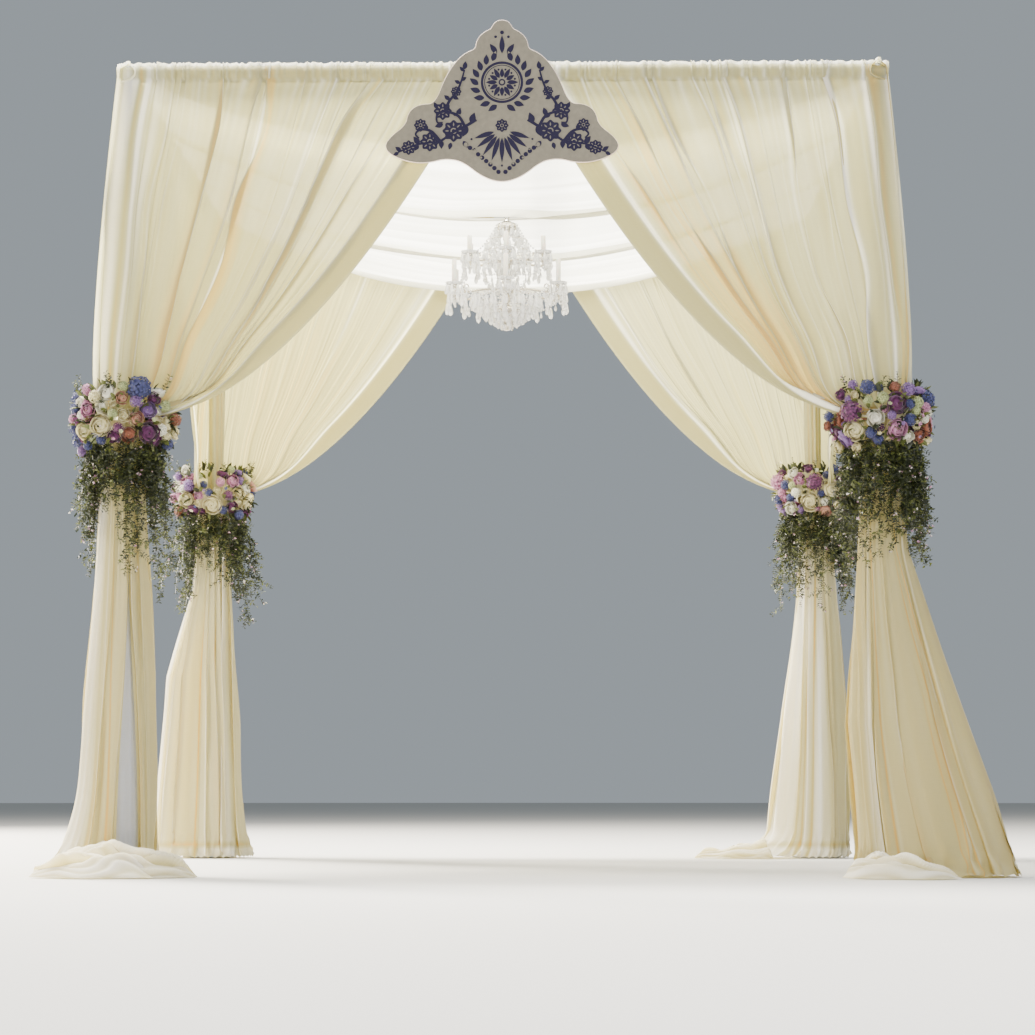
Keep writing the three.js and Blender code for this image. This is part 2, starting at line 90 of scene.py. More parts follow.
def showSurface(tree, shader):
    addNode(tree, "ShaderNodeOutputMaterial", {"Surface": shader})


def deselectAll():
    bpy.ops.object.select_all(action="DESELECT")


def smooth01(value):
    value = np.clip(value, 0.0, 1.0)
    return value * value * (3 - 2 * value)


def around(radius, angle):
    return np.array([radius * math.cos(angle), radius * math.sin(angle)])


# Camera where the photograph was taken from, by the perspective of the arbor's square plan
cameraView = {"place": Vector((0.237, -13.319, 0.344)), "pitchUp": 5.26, "turnLeft": 0.85, "lens": 102.5}


def addCamera():
    deselectAll()
    place = cameraView["place"] + Vector((arborMiddle.x, arborMiddle.y, 0))
    turn = (math.radians(90 + cameraView["pitchUp"]), 0, math.radians(cameraView["turnLeft"]))
    bpy.ops.object.camera_add(location=place, rotation=turn)
    camera = bpy.context.object
    camera.data.lens = cameraView["lens"]
    camera.data.sensor_width = 36
    bpy.context.scene.camera = camera
    print("camera set")


addCamera()

# Polyester voile, plain woven from fine crimped yarn: matt, it lets half of the light through. Its colours
# paint light and shade: olive grey painted shade where it lies double, amber painted shade where it is
# bunched, and a white painted highlight (crest) along the edges of folds. The yarn is 0.3 mm, drawn as 3 mm
# slubs to show.
voile = {
    "ivory": {"crest": "ffffff", "face": "cbc9aa", "double": "c4be90", "deep": "d9be74", "tint": "f3efca",
              "share": 0.54, "open": 0.04},
    # The gathered ivory of the legs and tails is the curtains' own cloth, painted lighter and warmer as if in
    # sun
    "gathered ivory painted lighter": {"crest": "ffffff", "face": "d7d1aa", "double": "cdc28c", "deep": "dcb45e",
                       "tint": "faf2c8", "share": 0.56, "open": 0.02},
    "white": {"crest": "ffffff", "face": "fcfbf6", "double": "d5d3c7", "deep": "ead9a8", "tint": "fffffa",
              "share": 0.78, "open": 0.04},
    # The lining is white voile painted bluish grey as shade
    "lining": {"crest": "ececf2", "face": "cfd2dc", "double": "b9bdca", "deep": "a4a8b4", "tint": "e4e6ee",
               "share": 0.50, "open": 0.0},
}
slubWidth = 0.003
slubLength = 0.060


def voileCloth(kind):
    look = voile[kind]
    material, tree = newMaterial(kind + " polyester voile")
    flat = addNode(tree, "ShaderNodeUVMap", uv_map="cloth")
    yarns = []
    for scale in ((1 / slubLength, 1 / slubWidth, 1), (1 / slubWidth, 1 / slubLength, 1)):
        stretch = addNode(tree, "ShaderNodeMapping", {"Vector": flat.outputs["UV"], "Scale": scale})
        yarns.append(addNode(tree, "ShaderNodeTexNoise", {
            "Vector": stretch.outputs["Vector"], "Scale": 1.0, "Detail": 2.0}))
    weave = addNode(tree, "ShaderNodeMath", {
        0: yarns[0].outputs["Fac"], 1: yarns[1].outputs["Fac"]}, operation="ADD")
    layers = addNode(tree, "ShaderNodeAttribute", attribute_name="layers")
    tone = linearColour(look["face"])
    # Layers below 0 mix towards the crest colour, a painted highlight; up to 0.5 towards the double colour
    # and up to 1 towards the deep colour, both painted shade
    for low, high, over in ((0.0, -1.0, "crest"), (0.0, 0.5, "double"), (0.5, 1.0, "deep")):
        share = addNode(tree, "ShaderNodeMapRange", {
            "Value": layers.outputs["Fac"], "From Min": low, "From Max": high})
        mixed = addNode(tree, "ShaderNodeMix", {
            0: share.outputs["Result"], 6: tone, 7: linearColour(look[over])}, data_type="RGBA")
        tone = mixed.outputs[2]
    shade = addNode(tree, "ShaderNodeMapRange", {
        "Value": weave.outputs["Value"], "From Min": 0.6, "From Max": 1.4, "To Min": 0.90, "To Max": 1.06})
    woven = addNode(tree, "ShaderNodeVectorMath", {
        0: tone, 1: shade.outputs["Result"]}, operation="MULTIPLY")
    through = addNode(tree, "ShaderNodeVectorMath", {
        0: tone, 1: linearColour(look["tint"])[:3]}, operation="MULTIPLY")
    bump = addNode(tree, "ShaderNodeBump", {
        "Height": weave.outputs["Value"], "Strength": 0.25, "Distance": 0.0006})
    matt = addNode(tree, "ShaderNodeBsdfPrincipled", {
        "Base Color": woven.outputs["Vector"], "Roughness": 0.85, "IOR": 1.5, "Sheen Weight": 0.15,
        "Sheen Roughness": 0.5, "Normal": bump.outputs["Normal"]})
    glow = addNode(tree, "ShaderNodeBsdfTranslucent", {
        "Color": through.outputs["Vector"], "Normal": bump.outputs["Normal"]})
    cloth = addNode(tree, "ShaderNodeMixShader", {0: look["share"], 1: matt.outputs[0], 2: glow.outputs[0]})
    if look["open"]:
        pores = addNode(tree, "ShaderNodeBsdfTransparent")
        cloth = addNode(tree, "ShaderNodeMixShader", {
            0: look["open"], 1: cloth.outputs[0], 2: pores.outputs[0]})
    showSurface(tree, cloth.outputs[0])
    return material


ivoryVoile = voileCloth("ivory")
whiteVoile = voileCloth("white")
liningVoilePaintedShade = voileCloth("lining")
gatheredVoilePaintedLighter = voileCloth("gathered ivory painted lighter")


# A sheet of cloth from rows of points, with its flat coordinates in metres. Its layers paint the colour with
# light and shade: 0 is one layer, 0.5 two or three in olive grey painted shade, 1 a bunch of them in amber
# painted shade, and below 0 a painted highlight, white at -1, along the edges of folds.
def clothMesh(name, points, flat, layers, material, closed=False, flip=False):
    rows, columns = points.shape[:2]
    index = np.arange(rows * columns).reshape(rows, columns)
    following = np.roll(index, -1, axis=1) if closed else index[:, 1:]
    first = index if closed else index[:, :-1]
    faces = np.stack([first[:-1], following[:-1], following[1:], first[1:]], axis=-1).reshape(-1, 4)
    if flip:
        faces = faces[:, ::-1]
    mesh = bpy.data.meshes.new(name)
    mesh.from_pydata(points.reshape(-1, 3).tolist(), [], faces.tolist())
    uv = mesh.uv_layers.new(name="cloth")
    corner = np.zeros(len(mesh.loops), np.int32)
    mesh.loops.foreach_get("vertex_index", corner)
    uv.data.foreach_set("uv", flat.reshape(-1, 2)[corner].astype(np.float32).ravel())
    attribute = mesh.attributes.new("layers", "FLOAT", "POINT")
    attribute.data.foreach_set("value", layers.astype(np.float32).ravel())
    mesh.polygons.foreach_set("use_smooth", [True] * len(mesh.polygons))
    mesh.materials.append(material)
    mesh.validate()
    return newPiece(mesh)


def newPiece(mesh):
    piece = bpy.data.objects.new(mesh.name, mesh)
    bpy.context.scene.collection.objects.link(piece)
    return piece


def settle(piece, slotName, *nodes):
    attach(piece, "root")
    if nodes:
        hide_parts(*nodes)


# How far along a line each of its points lies
def alongPath(line):
    return np.concatenate([[0], np.cumsum(np.linalg.norm(np.diff(line, axis=0), axis=-1))])


def flatGrid(across, down):
    return np.stack(np.meshgrid(across, down), axis=-1)


def hangSheet(piece, nodes, slotName):
    settle(piece, slotName, *nodes)


# Bands of uneven width across a sheet, each with its own strength at six heights. Gives the band of each
# place, that band's width, the place across it and its strength there.
def unevenBands(rng, across, up, count, narrowest, widest, least):
    widths = np.array([rng.uniform(narrowest, widest) for _ in range(count)])
    knots = np.concatenate([[0.0], np.cumsum(widths) / widths.sum()])
    strength = np.array([[rng.uniform(least, 1.0) for _ in range(6)] for _ in range(count)])
    across = np.clip(across, 0.0, 1.0)
    band = np.clip(np.searchsorted(knots, across, side="right") - 1, 0, count - 1)
    width = knots[band + 1] - knots[band]
    level = np.clip(up, 0.0, 1.0) * 4.999  # five spans between the heights
    lower = level.astype(int)
    share = smooth01(level - lower)
    power = strength[band, lower] * (1 - share) + strength[band, lower + 1] * share
    return band, width, (across - knots[band]) / width, power


# Round folds side by side across a sheet, each with its own lean. Gives rise and sideways shift.
def foldLayer(rng, across, up, count, lean=0.0, least=0.2):
    fold, width, phase, power = unevenBands(rng, across, up, count, 0.55, 1.45, least)
    leaning = np.array([rng.uniform(-lean, lean) for _ in range(count)])[fold]
    crest = 0.5 - 0.5 * np.cos(2 * np.pi * phase)
    return crest * power, leaning * width * crest * power


# Pleats side by side across a sheet: the cloth climbs slowly to a crest, then doubles back under it, each
# pleat to its own side. Gives rise, sideways shift and layers: painted shade growing towards the crest and
# under it, and a thin painted highlight along the crest.
def pleatLayer(rng, across, up, count, tuck, edge, least=0.0):
    pleat, width, phase, power = unevenBands(rng, across, up, count, 0.4, 1.8, least)
    side = np.array([rng.choice((-1, 1)) for _ in range(count)])[pleat]
    crest = np.array([rng.uniform(0.50, 0.80) for _ in range(count)])[pleat]
    phase = np.where(side > 0, phase, 1 - phase)
    under = crest + 0.45 * (1 - crest)
    climbs = phase < crest
    rise = np.where(climbs, smooth01(phase / crest), 1 - smooth01((phase - crest) / (under - crest)))
    doubledShade = np.where(climbs, smooth01((phase - crest + 0.42) / 0.34), np.where(phase < under, 1.0, 0.0))
    glint = np.exp(-((phase - crest + 0.4 * edge / width) * width / edge) ** 2)
    return rise * power, tuck * side * width * rise * power, (0.50 * doubledShade - 1.35 * glint) * power ** 0.7


# Curtains. Threads start side by side on the rail and end as a bundle against the post, as the packed
# curtains do: s runs along the rail from the post, o outwards, z up.
curtain = {
    "neck": 0.085, "inner": 0.026, "slab": 0.010, "corner": 0.036, "bulge": 0.108, "gap": 0.050,
    "sag": 0.565, "bundleEnd": 0.072, "mainTop": 0.943, "hem": 0.098, "hemGap": 0.004, "pocketHemGap": 0.0015,
    "columns": 400, "rows": 66, "middleFolds": 17, "fineFolds": 62, "pocketFolds": 34, "pinches": 96,
    "fullness": 1.5,
}
curtainLength = half - curtain["gap"]
hemTop = curtain["hem"] / (curtainLength + curtain["corner"])  # the hem's share of the width at the rail
# For each corner: how many pleats a curtain has, how deep they are, and single lines down it as (place
# across, width, from height down, layers), places and heights as shares; a line's layers below 0 paint a
# highlight down it, above 0 painted shade.
curtainFolds = {
    "front_left": (11, 1.0, [
        (0.005, 0.008, 1.3, -1.5), (0.034, 0.013, 1.3, -1.7), (0.057, 0.005, 1.3, 0.60),
        (0.074, 0.006, 1.3, -1.6), (0.105, 0.012, 1.3, -0.7), (0.433, 0.006, 1.3, -1.4),
        (0.456, 0.014, 1.3, 0.95), (0.48, 0.008, 0.7, 0.35), (0.60, 0.006, 1.1, -0.7),
        (0.86, 0.03, 0.30, 0.40), (0.45, 0.45, 1.3, 0.16), (0.30, 0.20, 0.60, 0.20),
        (0.922, 0.010, 1.3, -1.1)]),
    "front_right": (12, 1.0, [
        (0.004, 0.006, 1.3, -0.9), (0.030, 0.016, 1.3, 0.45), (0.065, 0.006, 1.3, -1.3),
        (0.125, 0.008, 1.3, -1.0), (0.60, 0.09, 0.62, 0.76), (0.77, 0.08, 1.0, 0.72),
        (0.87, 0.03, 0.90, 0.55), (0.47, 0.008, 1.2, -0.9), (0.33, 0.006, 1.2, -0.6),
        (0.922, 0.010, 1.3, -1.1)]),
    "back_left": (7, 0.45, [
        (0.45, 0.45, 1.3, 0.36), (0.03, 0.02, 1.3, 0.45), (0.10, 0.010, 1.3, -0.6), (0.62, 0.008, 1.3, -0.7),
        (0.895, 0.020, 1.3, -0.5)]),
    "back_right": (7, 0.45, [
        (0.02, 0.02, 1.3, 0.3), (0.12, 0.010, 1.3, -0.6), (0.50, 0.02, 0.60, 0.3),
        (0.895, 0.020, 1.3, -0.6)]),
}
# The rod pocket and its ruffle, as places (outwards, up from the rail's axis) round the rail
pocketPath = [
    (0.038, -0.022), (0.038, 0.0), (0.034, 0.016), (0.020, 0.027), (0.013, 0.038), (0.009, 0.049),
    (0.001, 0.050), (-0.003, 0.038), (-0.013, 0.030), (-0.028, 0.017), (-0.034, 0.0), (-0.031, -0.016),
    (-0.014, -0.031), (0.014, -0.040), (0.028, -0.044)]
ruffleSteps = (4, 5, 6, 7)


def hungCloth(across, up):
    c = curtain
    edge = math.sqrt(0.5) * c["neck"]
    neckS = -edge + across * (edge + c["bundleEnd"])
    neckO = np.maximum(np.sqrt(np.maximum(c["neck"] ** 2 - neckS ** 2, 0)), c["inner"] + 0.013)
    face = c["inner"] + c["slab"]
    bulge = c["bulge"] * (1 - up) * up ** 0.25 * (1 - across) ** 3
    outerS = -edge + (edge - c["corner"]) * up
    innerS = c["bundleEnd"] + (curtainLength - c["bundleEnd"]) * up ** c["sag"]
    hemFrom = 1 - hemTop
    hemShare = c["hem"] * (0.25 + 0.95 * smooth01(up / 0.25)) / (innerS - outerS)
    body = np.clip(across / hemFrom, 0, 1)
    fanned = 0.48 * (1 - up) ** 2 + 0.45 * np.exp(-(up / 0.12) ** 2)
    body = (1 - hemShare) * (body + fanned * body * (1 - body))
    share = body + hemShare * np.clip((across - hemFrom) / (1 - hemFrom), 0, 1)
    s = outerS + (innerS - outerS) * share - bulge
    flatO = face + (c["corner"] - face) * (1 - across) ** 3
    blend = smooth01(up / 0.15) * across + up * (1 - across)
    o = neckO + (flatO - neckO) * blend + bulge
    return np.stack([s, o, tieHeight + up * (topHeight - tieHeight)], axis=-1)


def curtainSheet(seed, pleats, strength, lines):
    c = curtain
    rng = random.Random(seed)
    across = np.linspace(0, 1, c["columns"] + 1)
    mainUp = np.linspace(0, 1, c["rows"] + 1) ** 1.7 * c["mainTop"]
    a, u = np.meshgrid(across, mainUp)
    surface = hungCloth(a, u)
    acrossStep = np.gradient(surface, axis=1)
    upStep = np.gradient(surface, axis=0)
    spacing = np.linalg.norm(acrossStep, axis=-1) + 1e-9
    tangent = acrossStep / spacing[..., None]
    outward = np.cross(upStep, acrossStep)
    outward /= np.linalg.norm(outward, axis=-1)[..., None] + 1e-9
    outward *= np.where(outward[..., 1:2] < 0, -1, 1)
    bunched = np.clip(1 - spacing / np.median(spacing[-1]), 0, 1)
    wander = a + 0.010 * np.sin(6.0 * u + 9 * a + rng.uniform(0, 6)) * np.sin(np.pi * a)
    big, shift, doubledShade = pleatLayer(rng, wander, u, pleats, tuck=0.42, edge=0.0040)
    middle, middleShift, middleDoubledShade = pleatLayer(rng, wander, u, c["middleFolds"], tuck=0.35, edge=0.0030)
    fine, _ = foldLayer(rng, a, u, c["fineFolds"], least=0.1)
    toHeader = np.exp(-(c["mainTop"] - u) * (topHeight - tieHeight) / 0.16)
    hemPlace = (across - 1 + hemTop) / hemTop
    inBody = 1 - smooth01((hemPlace + 0.30) / 0.30)
    free = (0.25 + 0.75 * (1 - bunched)) * strength * inBody
    bigDepth = 0.010 + 0.022 * bunched ** 0.8
    middleDepth = 0.005 + 0.012 * bunched
    fineDepth = 0.0007 + 0.0050 * toHeader + 0.003 * bunched
    quiet = smooth01(a / 0.02)
    creased = bigDepth * (big - 1) + middleDepth * (middle - 0.8)
    relief = strength * (0.25 + 0.75 * inBody) * creased + fineDepth * (fine - 0.5)
    sideways = (shift + 0.6 * middleShift) * curtainLength * free
    points = surface + (outward * (quiet * relief)[..., None] + tangent * (quiet * sideways)[..., None])
    # Painted shade in the folds' valleys and where the cloth bunches, painted shade and highlights in the
    # fine gathers under the header, and the lines' painted highlights and shade
    valleyShade = np.clip(1 - 0.6 * big - 0.4 * middle, 0, 1)
    layers = inBody * strength * (1.1 * doubledShade + 0.5 * middleDoubledShade) + 0.06 * valleyShade
    layers += inBody * bunched * (0.10 + 0.30 * valleyShade ** 1.5) + toHeader * 0.8 * (0.35 - fine)
    drawn = 0 * a
    for place, width, fromHeight, amount in lines:
        near = np.exp(-((wander - place) / width) ** 2)
        swell = 0.8 + 0.2 * np.sin(25 * place + 7 * u)
        drawn += amount * near * smooth01((fromHeight - u) / 0.35) * swell
    layers += drawn
    # Header: the cloth passes over the rail, stands up as a ruffle and comes back to its own seam
    header, headerLayers = [], []
    pinch, _ = foldLayer(random.Random(seed + 52), across, np.full_like(across, 0.5), c["pinches"], least=0.0)
    for step, (out, rise) in enumerate(pocketPath):
        level = np.full_like(across, step / (len(pocketPath) - 1))
        gather, _ = foldLayer(random.Random(seed + 50), across, level, c["fineFolds"], least=0.3)
        second, _ = foldLayer(random.Random(seed + 51), across, level, c["pocketFolds"], least=0.2)
        ripple = 0.0045 * (gather - 0.5) + 0.003 * (second - 0.5) + 0.004 * (pinch - 0.4)
        ruffled = step in ruffleSteps
        normal = np.array([out, rise]) / math.hypot(out, rise)
        waveOut, waveUp, droop = (2.2, 0.9, 0.003) if ruffled else (normal[0], normal[1], 0.0)
        along = points[-1, :, 0] + 0.010 * (second - 0.5) * min(step, 3) / 3
        height = railHeight + rise + waveUp * ripple - droop
        header.append(np.stack([along, out + waveOut * ripple, height], axis=-1))
        # The pocket is painted grey as the rail's shade, with painted highlights at its pinches; the ruffle
        # is painted as a highlight, near white
        pocketShading = 0.52 - 1.5 * gather * pinch + 0.7 * drawn[-1]
        headerLayers.append(np.full_like(across, -0.9) if ruffled else pocketShading)
    points = np.concatenate([points, np.array(header)])
    layers = np.concatenate([layers, np.array(headerLayers)])
    # Hem: the inner edge is folded back behind the sheet
    back = np.arange(0, int(round(c["hem"] / curtainLength * c["columns"])), 2)
    extended = np.concatenate([outward, np.repeat(outward[-1:], len(header), axis=0)])
    extended[-len(header):] = (0, 1, 0)
    hemGap = np.full((len(points), 1), c["hemGap"])
    hemGap[len(mainUp):] = c["pocketHemGap"]
    hem = [points[:, -1 - step] - extended[:, -1 - step] * hemGap * min(1, 0.4 + step) for step in back]
    points = np.concatenate([points, np.stack(hem, axis=1)], axis=1)
    lowness = 1 - np.concatenate([mainUp, np.ones(len(header))])[:, None]
    # The hem band is painted in shade where the cloth lies double, with a painted highlight along its outer
    # edge and a fainter one at its inner edge
    band = np.clip(hemPlace * 8 + 0.5, 0, 1) * (0.34 + 0.20 * lowness * smooth01((0.6 - hemPlace) / 0.6))
    hemEdgeHighlight = np.exp(-((hemPlace + 0.06) / 0.16) ** 2) + 0.5 * np.exp(-((hemPlace - 0.97) / 0.06) ** 2)
    layers = np.clip(layers + band - hemEdgeHighlight, -1, 1)
    layers = np.concatenate([layers, layers[:, -1 - back]], axis=1)
    flatU = np.concatenate([across, 1 + back / c["columns"]]) * curtainLength * c["fullness"]
    return points, flatGrid(flatU, alongPath(points[:, len(across) // 2])), layers


def placeCurtain(points, signs, alongX):
    placed = np.empty_like(points)
    if alongX:
        placed[..., 0] = arborMiddle.x + signs[0] * (half - points[..., 0])
        placed[..., 1] = arborMiddle.y + signs[1] * (half + points[..., 1])
    else:
        placed[..., 0] = arborMiddle.x + signs[0] * (half + points[..., 1])
        placed[..., 1] = arborMiddle.y + signs[1] * (half - points[..., 0])
    placed[..., 2] = points[..., 2]
    return placed


clothPoints = []  # places in the curtains and legs, which the bouquets keep clear of


def makeCurtains():
    for number, name in enumerate(cornerNames):
        depth, side = name.split("_")
        for alongX in (True, False):
            here, other = (depth, side) if alongX else (side, depth)
            points, flat, layers = curtainSheet(100 + 10 * number + alongX, *curtainFolds[name])
            points = placeCurtain(points, cornerSign[name], alongX)
            mirrored = cornerSign[name][0] * cornerSign[name][1] > 0
            swag = f"swag_{here}_{other}"
            piece = clothMesh(swag, points, flat, layers, ivoryVoile, flip=mirrored == alongX)
            hangSheet(piece, [f"curtain_{here}_{other}"], "ivory_voile")
            clothPoints.append(points[::2, ::6].reshape(-1, 3))


makeCurtains()

# Ceiling strips, held between the side curtains' pockets, each lapping the next a little
ceiling = {
    "columns": 150, "rows": 42, "lap": 0.055, "notch": 0.020, "frontRise": 0.100, "riseDepth": 0.320,
    "lift": 0.006, "hemRows": 3, "hemGap": 0.003, "wideFolds": 7, "fineFolds": 24,
}


def ceilingStrip(node, seed, frontLap, backLap, rise=0.0):
    c = ceiling
    low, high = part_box(node)
    rng = random.Random(seed)
    along = np.linspace(-1, 1, c["columns"] + 1)
    deep = np.linspace(0, 1, c["rows"] + 1)
    x, d = np.meshgrid(along, deep)
    reach = (high.x - low.x) / 2
    # Where two strips lap, their edges are notched round the chandelier's chain
    clear = smooth01((np.abs(x) * reach - 0.03) / 0.22)
    lap = clear * (c["lap"] + c["notch"]) - c["notch"]
    front, back = low.y - frontLap * lap, high.y + backLap * lap
    bow = 0.012 * np.sin(3 * x + seed) * (1 - x ** 2)
    y = front + (back - front) * d + bow * (1 - (2 * d - 1) ** 2)
    sag = (railHeight - low.z - 0.004) * x ** 2
    ends = np.abs(x) ** 3
    wavy = d + 0.03 * np.sin(2.5 * x + seed)
    wide, wideLean = foldLayer(rng, wavy, (x + 1) / 2, c["wideFolds"], lean=0.6, least=0.0)
    fine, _ = foldLayer(rng, d + 0.01 * np.sin(5 * x), (x + 1) / 2, c["fineFolds"], least=0.0)
    slant = np.sin(9 * d + 5 * x + seed) * np.sin(3.1 * x - 4 * d + 2 * seed)
    relief = (0.016 + 0.010 * ends) * (wide - 0.5) + (0.003 + 0.008 * ends) * (fine - 0.5) + 0.010 * slant
    droop = 0.022 * (1 - ends) * (4 * (d - 0.5) ** 2) ** 3
    raised = rise * (1 - x ** 2) * (1 - smooth01(d * (high.y - low.y) / c["riseDepth"]))
    z = low.z + 0.006 + sag + relief - droop + c["lift"] * (2 * d - 1) + raised
    y = y + wideLean * 0.5 * (1 - ends)
    points = np.stack([(low.x + high.x) / 2 + x * reach, y, z], axis=-1)
    # The hems lie folded back on top
    hemRows = c["hemRows"]
    hemFront = [points[row] + (0, 0, c["hemGap"]) for row in range(hemRows, -1, -1)]
    hemBack = [points[-1 - row] + (0, 0, c["hemGap"]) for row in range(hemRows + 1)]
    points = np.concatenate([hemFront, points, hemBack])
    # Painted grey shade in the wide folds' valleys, on the slanting wrinkles and towards the gathered ends,
    # and painted shade along the lapped hems
    valleyShade = np.clip(1 - wide, 0, 1) ** 2 * 0.30 + 0.12 * np.clip(slant, 0, 1) + 0.10 * (1 - fine) * ends
    seamShade = 0.10 + 0.25 * smooth01(0.5 + np.sin(4 * along + seed) + 0.5 * np.sin(11 * along))
    seamShadeRows = np.repeat(seamShade[None, :], hemRows + 1, axis=0)
    valleyShade[:hemRows + 1] = np.maximum(valleyShade[:hemRows + 1], seamShadeRows)
    valleyShade[-hemRows - 1:] = np.maximum(valleyShade[-hemRows - 1:], seamShadeRows)
    layers = np.concatenate([seamShadeRows, valleyShade, seamShadeRows])
    flat = flatGrid(alongPath(points[len(points) // 2]), alongPath(points[:, 10]))
    piece = clothMesh(node.replace("ceiling", "ceiling_cloth"), points, flat, layers, whiteVoile, flip=True)
    hangSheet(piece, [node], "white_voile")


ceilingStrip("ceiling_front", 31, frontLap=0.3, backLap=1, rise=ceiling["frontRise"])
ceilingStrip("ceiling_middle", 32, frontLap=0, backLap=1)
ceilingStrip("ceiling_rear", 33, frontLap=0, backLap=0.3)

# Legs: the rest of each corner's cloth, from the tie to the floor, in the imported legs' outline. A lobe
# pushes the foot out, or pulls it in, towards an angle in degrees, from a height down.
leg = {
    "neck": 0.085, "foot": 0.210, "columns": 440, "rows": 64, "bigFolds": 15, "middleFolds": 38,
    "fineFolds": 90, "plateRadius": 0.108, "flatWidth": 2.9,
}
legLobes = {
    "front_left": [(180, 0.115, 0.40, 2, 2), (0, -0.054, 0.80, 1, 2)],
    "front_right": [(-20, 0.350, 1.30, 1.15, 2), (180, -0.095, 0.60, 1, 2)],
    "back_left": [(180, 0.305, 1.35, 1, 2), (180, -0.190, 0.90, 1, 2), (0, 0.025, 0.20, 2, 2)],
    "back_right": [(180, 0.100, 1.30, 1, 3.1), (180, 0.200, 0.15, 2.2, 3.1), (0, -0.050, 0.50, 1, 2)],
}
# Where each leg's two edges meet, in degrees, and how far they lap or part at the floor
legSeam = {
    "front_left": (292, -34), "front_right": (215, 16), "back_left": (300, 14), "back_right": (300, 14)}
# For each leg: how far its threads fan out towards its widest side and where that is, its painted shade
# all over (below 0 painted lighter) and in its folds, and single lines down it as (angle, width, from height
# down, layers), with the angle at the tie; a line's layers below 0 paint a highlight down it, above 0
# painted shade.
legLook = {
    "front_left": (0.15, 180, 0.02, 0.35, [
        (210, 19, 1.1, -1.2), (258, 1.2, 0.9, 1.0), (262, 3.2, 0.24, 1.1), (234, 3, 1.0, 0.45),
        (243, 1.5, 1.0, -0.5), (250, 3, 1.0, 0.3), (316, 4, 1.0, 0.35)]),
    "front_right": (1.0, -20, 0.24, 0.30, [
        (220, 5, 1.0, -0.9), (238, 0.7, 0.95, 1.2), (240.5, 1.0, 0.9, -0.5), (250, 3, 0.9, -0.3),
        (285, 0.6, 0.80, 1.4), (286.8, 1.0, 0.75, -0.5), (293, 0.75, 0.95, 1.6), (295.2, 1.4, 0.9, -0.6),
        (279, 0.6, 0.55, 0.8), (318, 5, 1.0, -0.4), (345, 10, 1.2, -0.6)]),
    "back_left": (0.4, 180, -0.14, 0.45, [
        (257, 1.2, 0.9, 1.3), (250, 8, 0.9, 0.35), (288, 1.1, 0.8, 1.3), (270, 2.0, 0.8, -0.5),
        (232, 8, 0.8, 0.30), (197, 16, 1.1, -1.4), (315, 6, 1.0, -0.5)]),
    "back_right": (0.4, 180, -0.32, 0.30, [
        (205, 20, 1.1, -1.1), (242, 1.5, 1.0, 1.3), (252, 4, 0.9, -0.9), (261, 1.5, 1.0, 1.3),
        (270, 5, 0.8, -1.1), (300, 15, 1.2, 0.45)]),
}


def plainLegRadius(z):
    return leg["neck"] + (leg["foot"] - leg["neck"]) * (1 - z / tieHeight)


def legRadius(name, angle, z):
    radius = plainLegRadius(z)
    for towards, reach, fromHeight, power, narrow in legLobes[name]:
        facing = np.maximum(np.cos(angle - math.radians(towards)), 0)
        radius = radius + reach * facing ** narrow * np.maximum(1 - z / fromHeight, 0) ** power
    return radius


def aroundPost(name, radius, angle, z):
    place = postPlace[name]
    return np.stack([place.x + radius * np.cos(angle), place.y + radius * np.sin(angle), z], axis=-1)


def fannedAngle(name, angle, z):
    # Threads keep their share of the way round the leg, so they gather towards its widest side lower down
    fan, widest = legLook[name][:2]
    fanned = np.empty_like(angle)
    aroundLeg = math.radians(widest) + np.linspace(-2 * np.pi, 4 * np.pi, 1081)
    widestPlace = 360  # in that list of three turns
    for row in range(len(angle)):
        reach = legRadius(name, aroundLeg, z[row, 0])
        way = np.concatenate([[0], np.cumsum((reach[1:] + reach[:-1]) / 2)])
        way = (way - way[widestPlace]) * 6 * np.pi / way[-1] + math.radians(widest)
        fanned[row] = np.interp(angle[row], way, aroundLeg)
    return angle + fan * (fanned - angle)


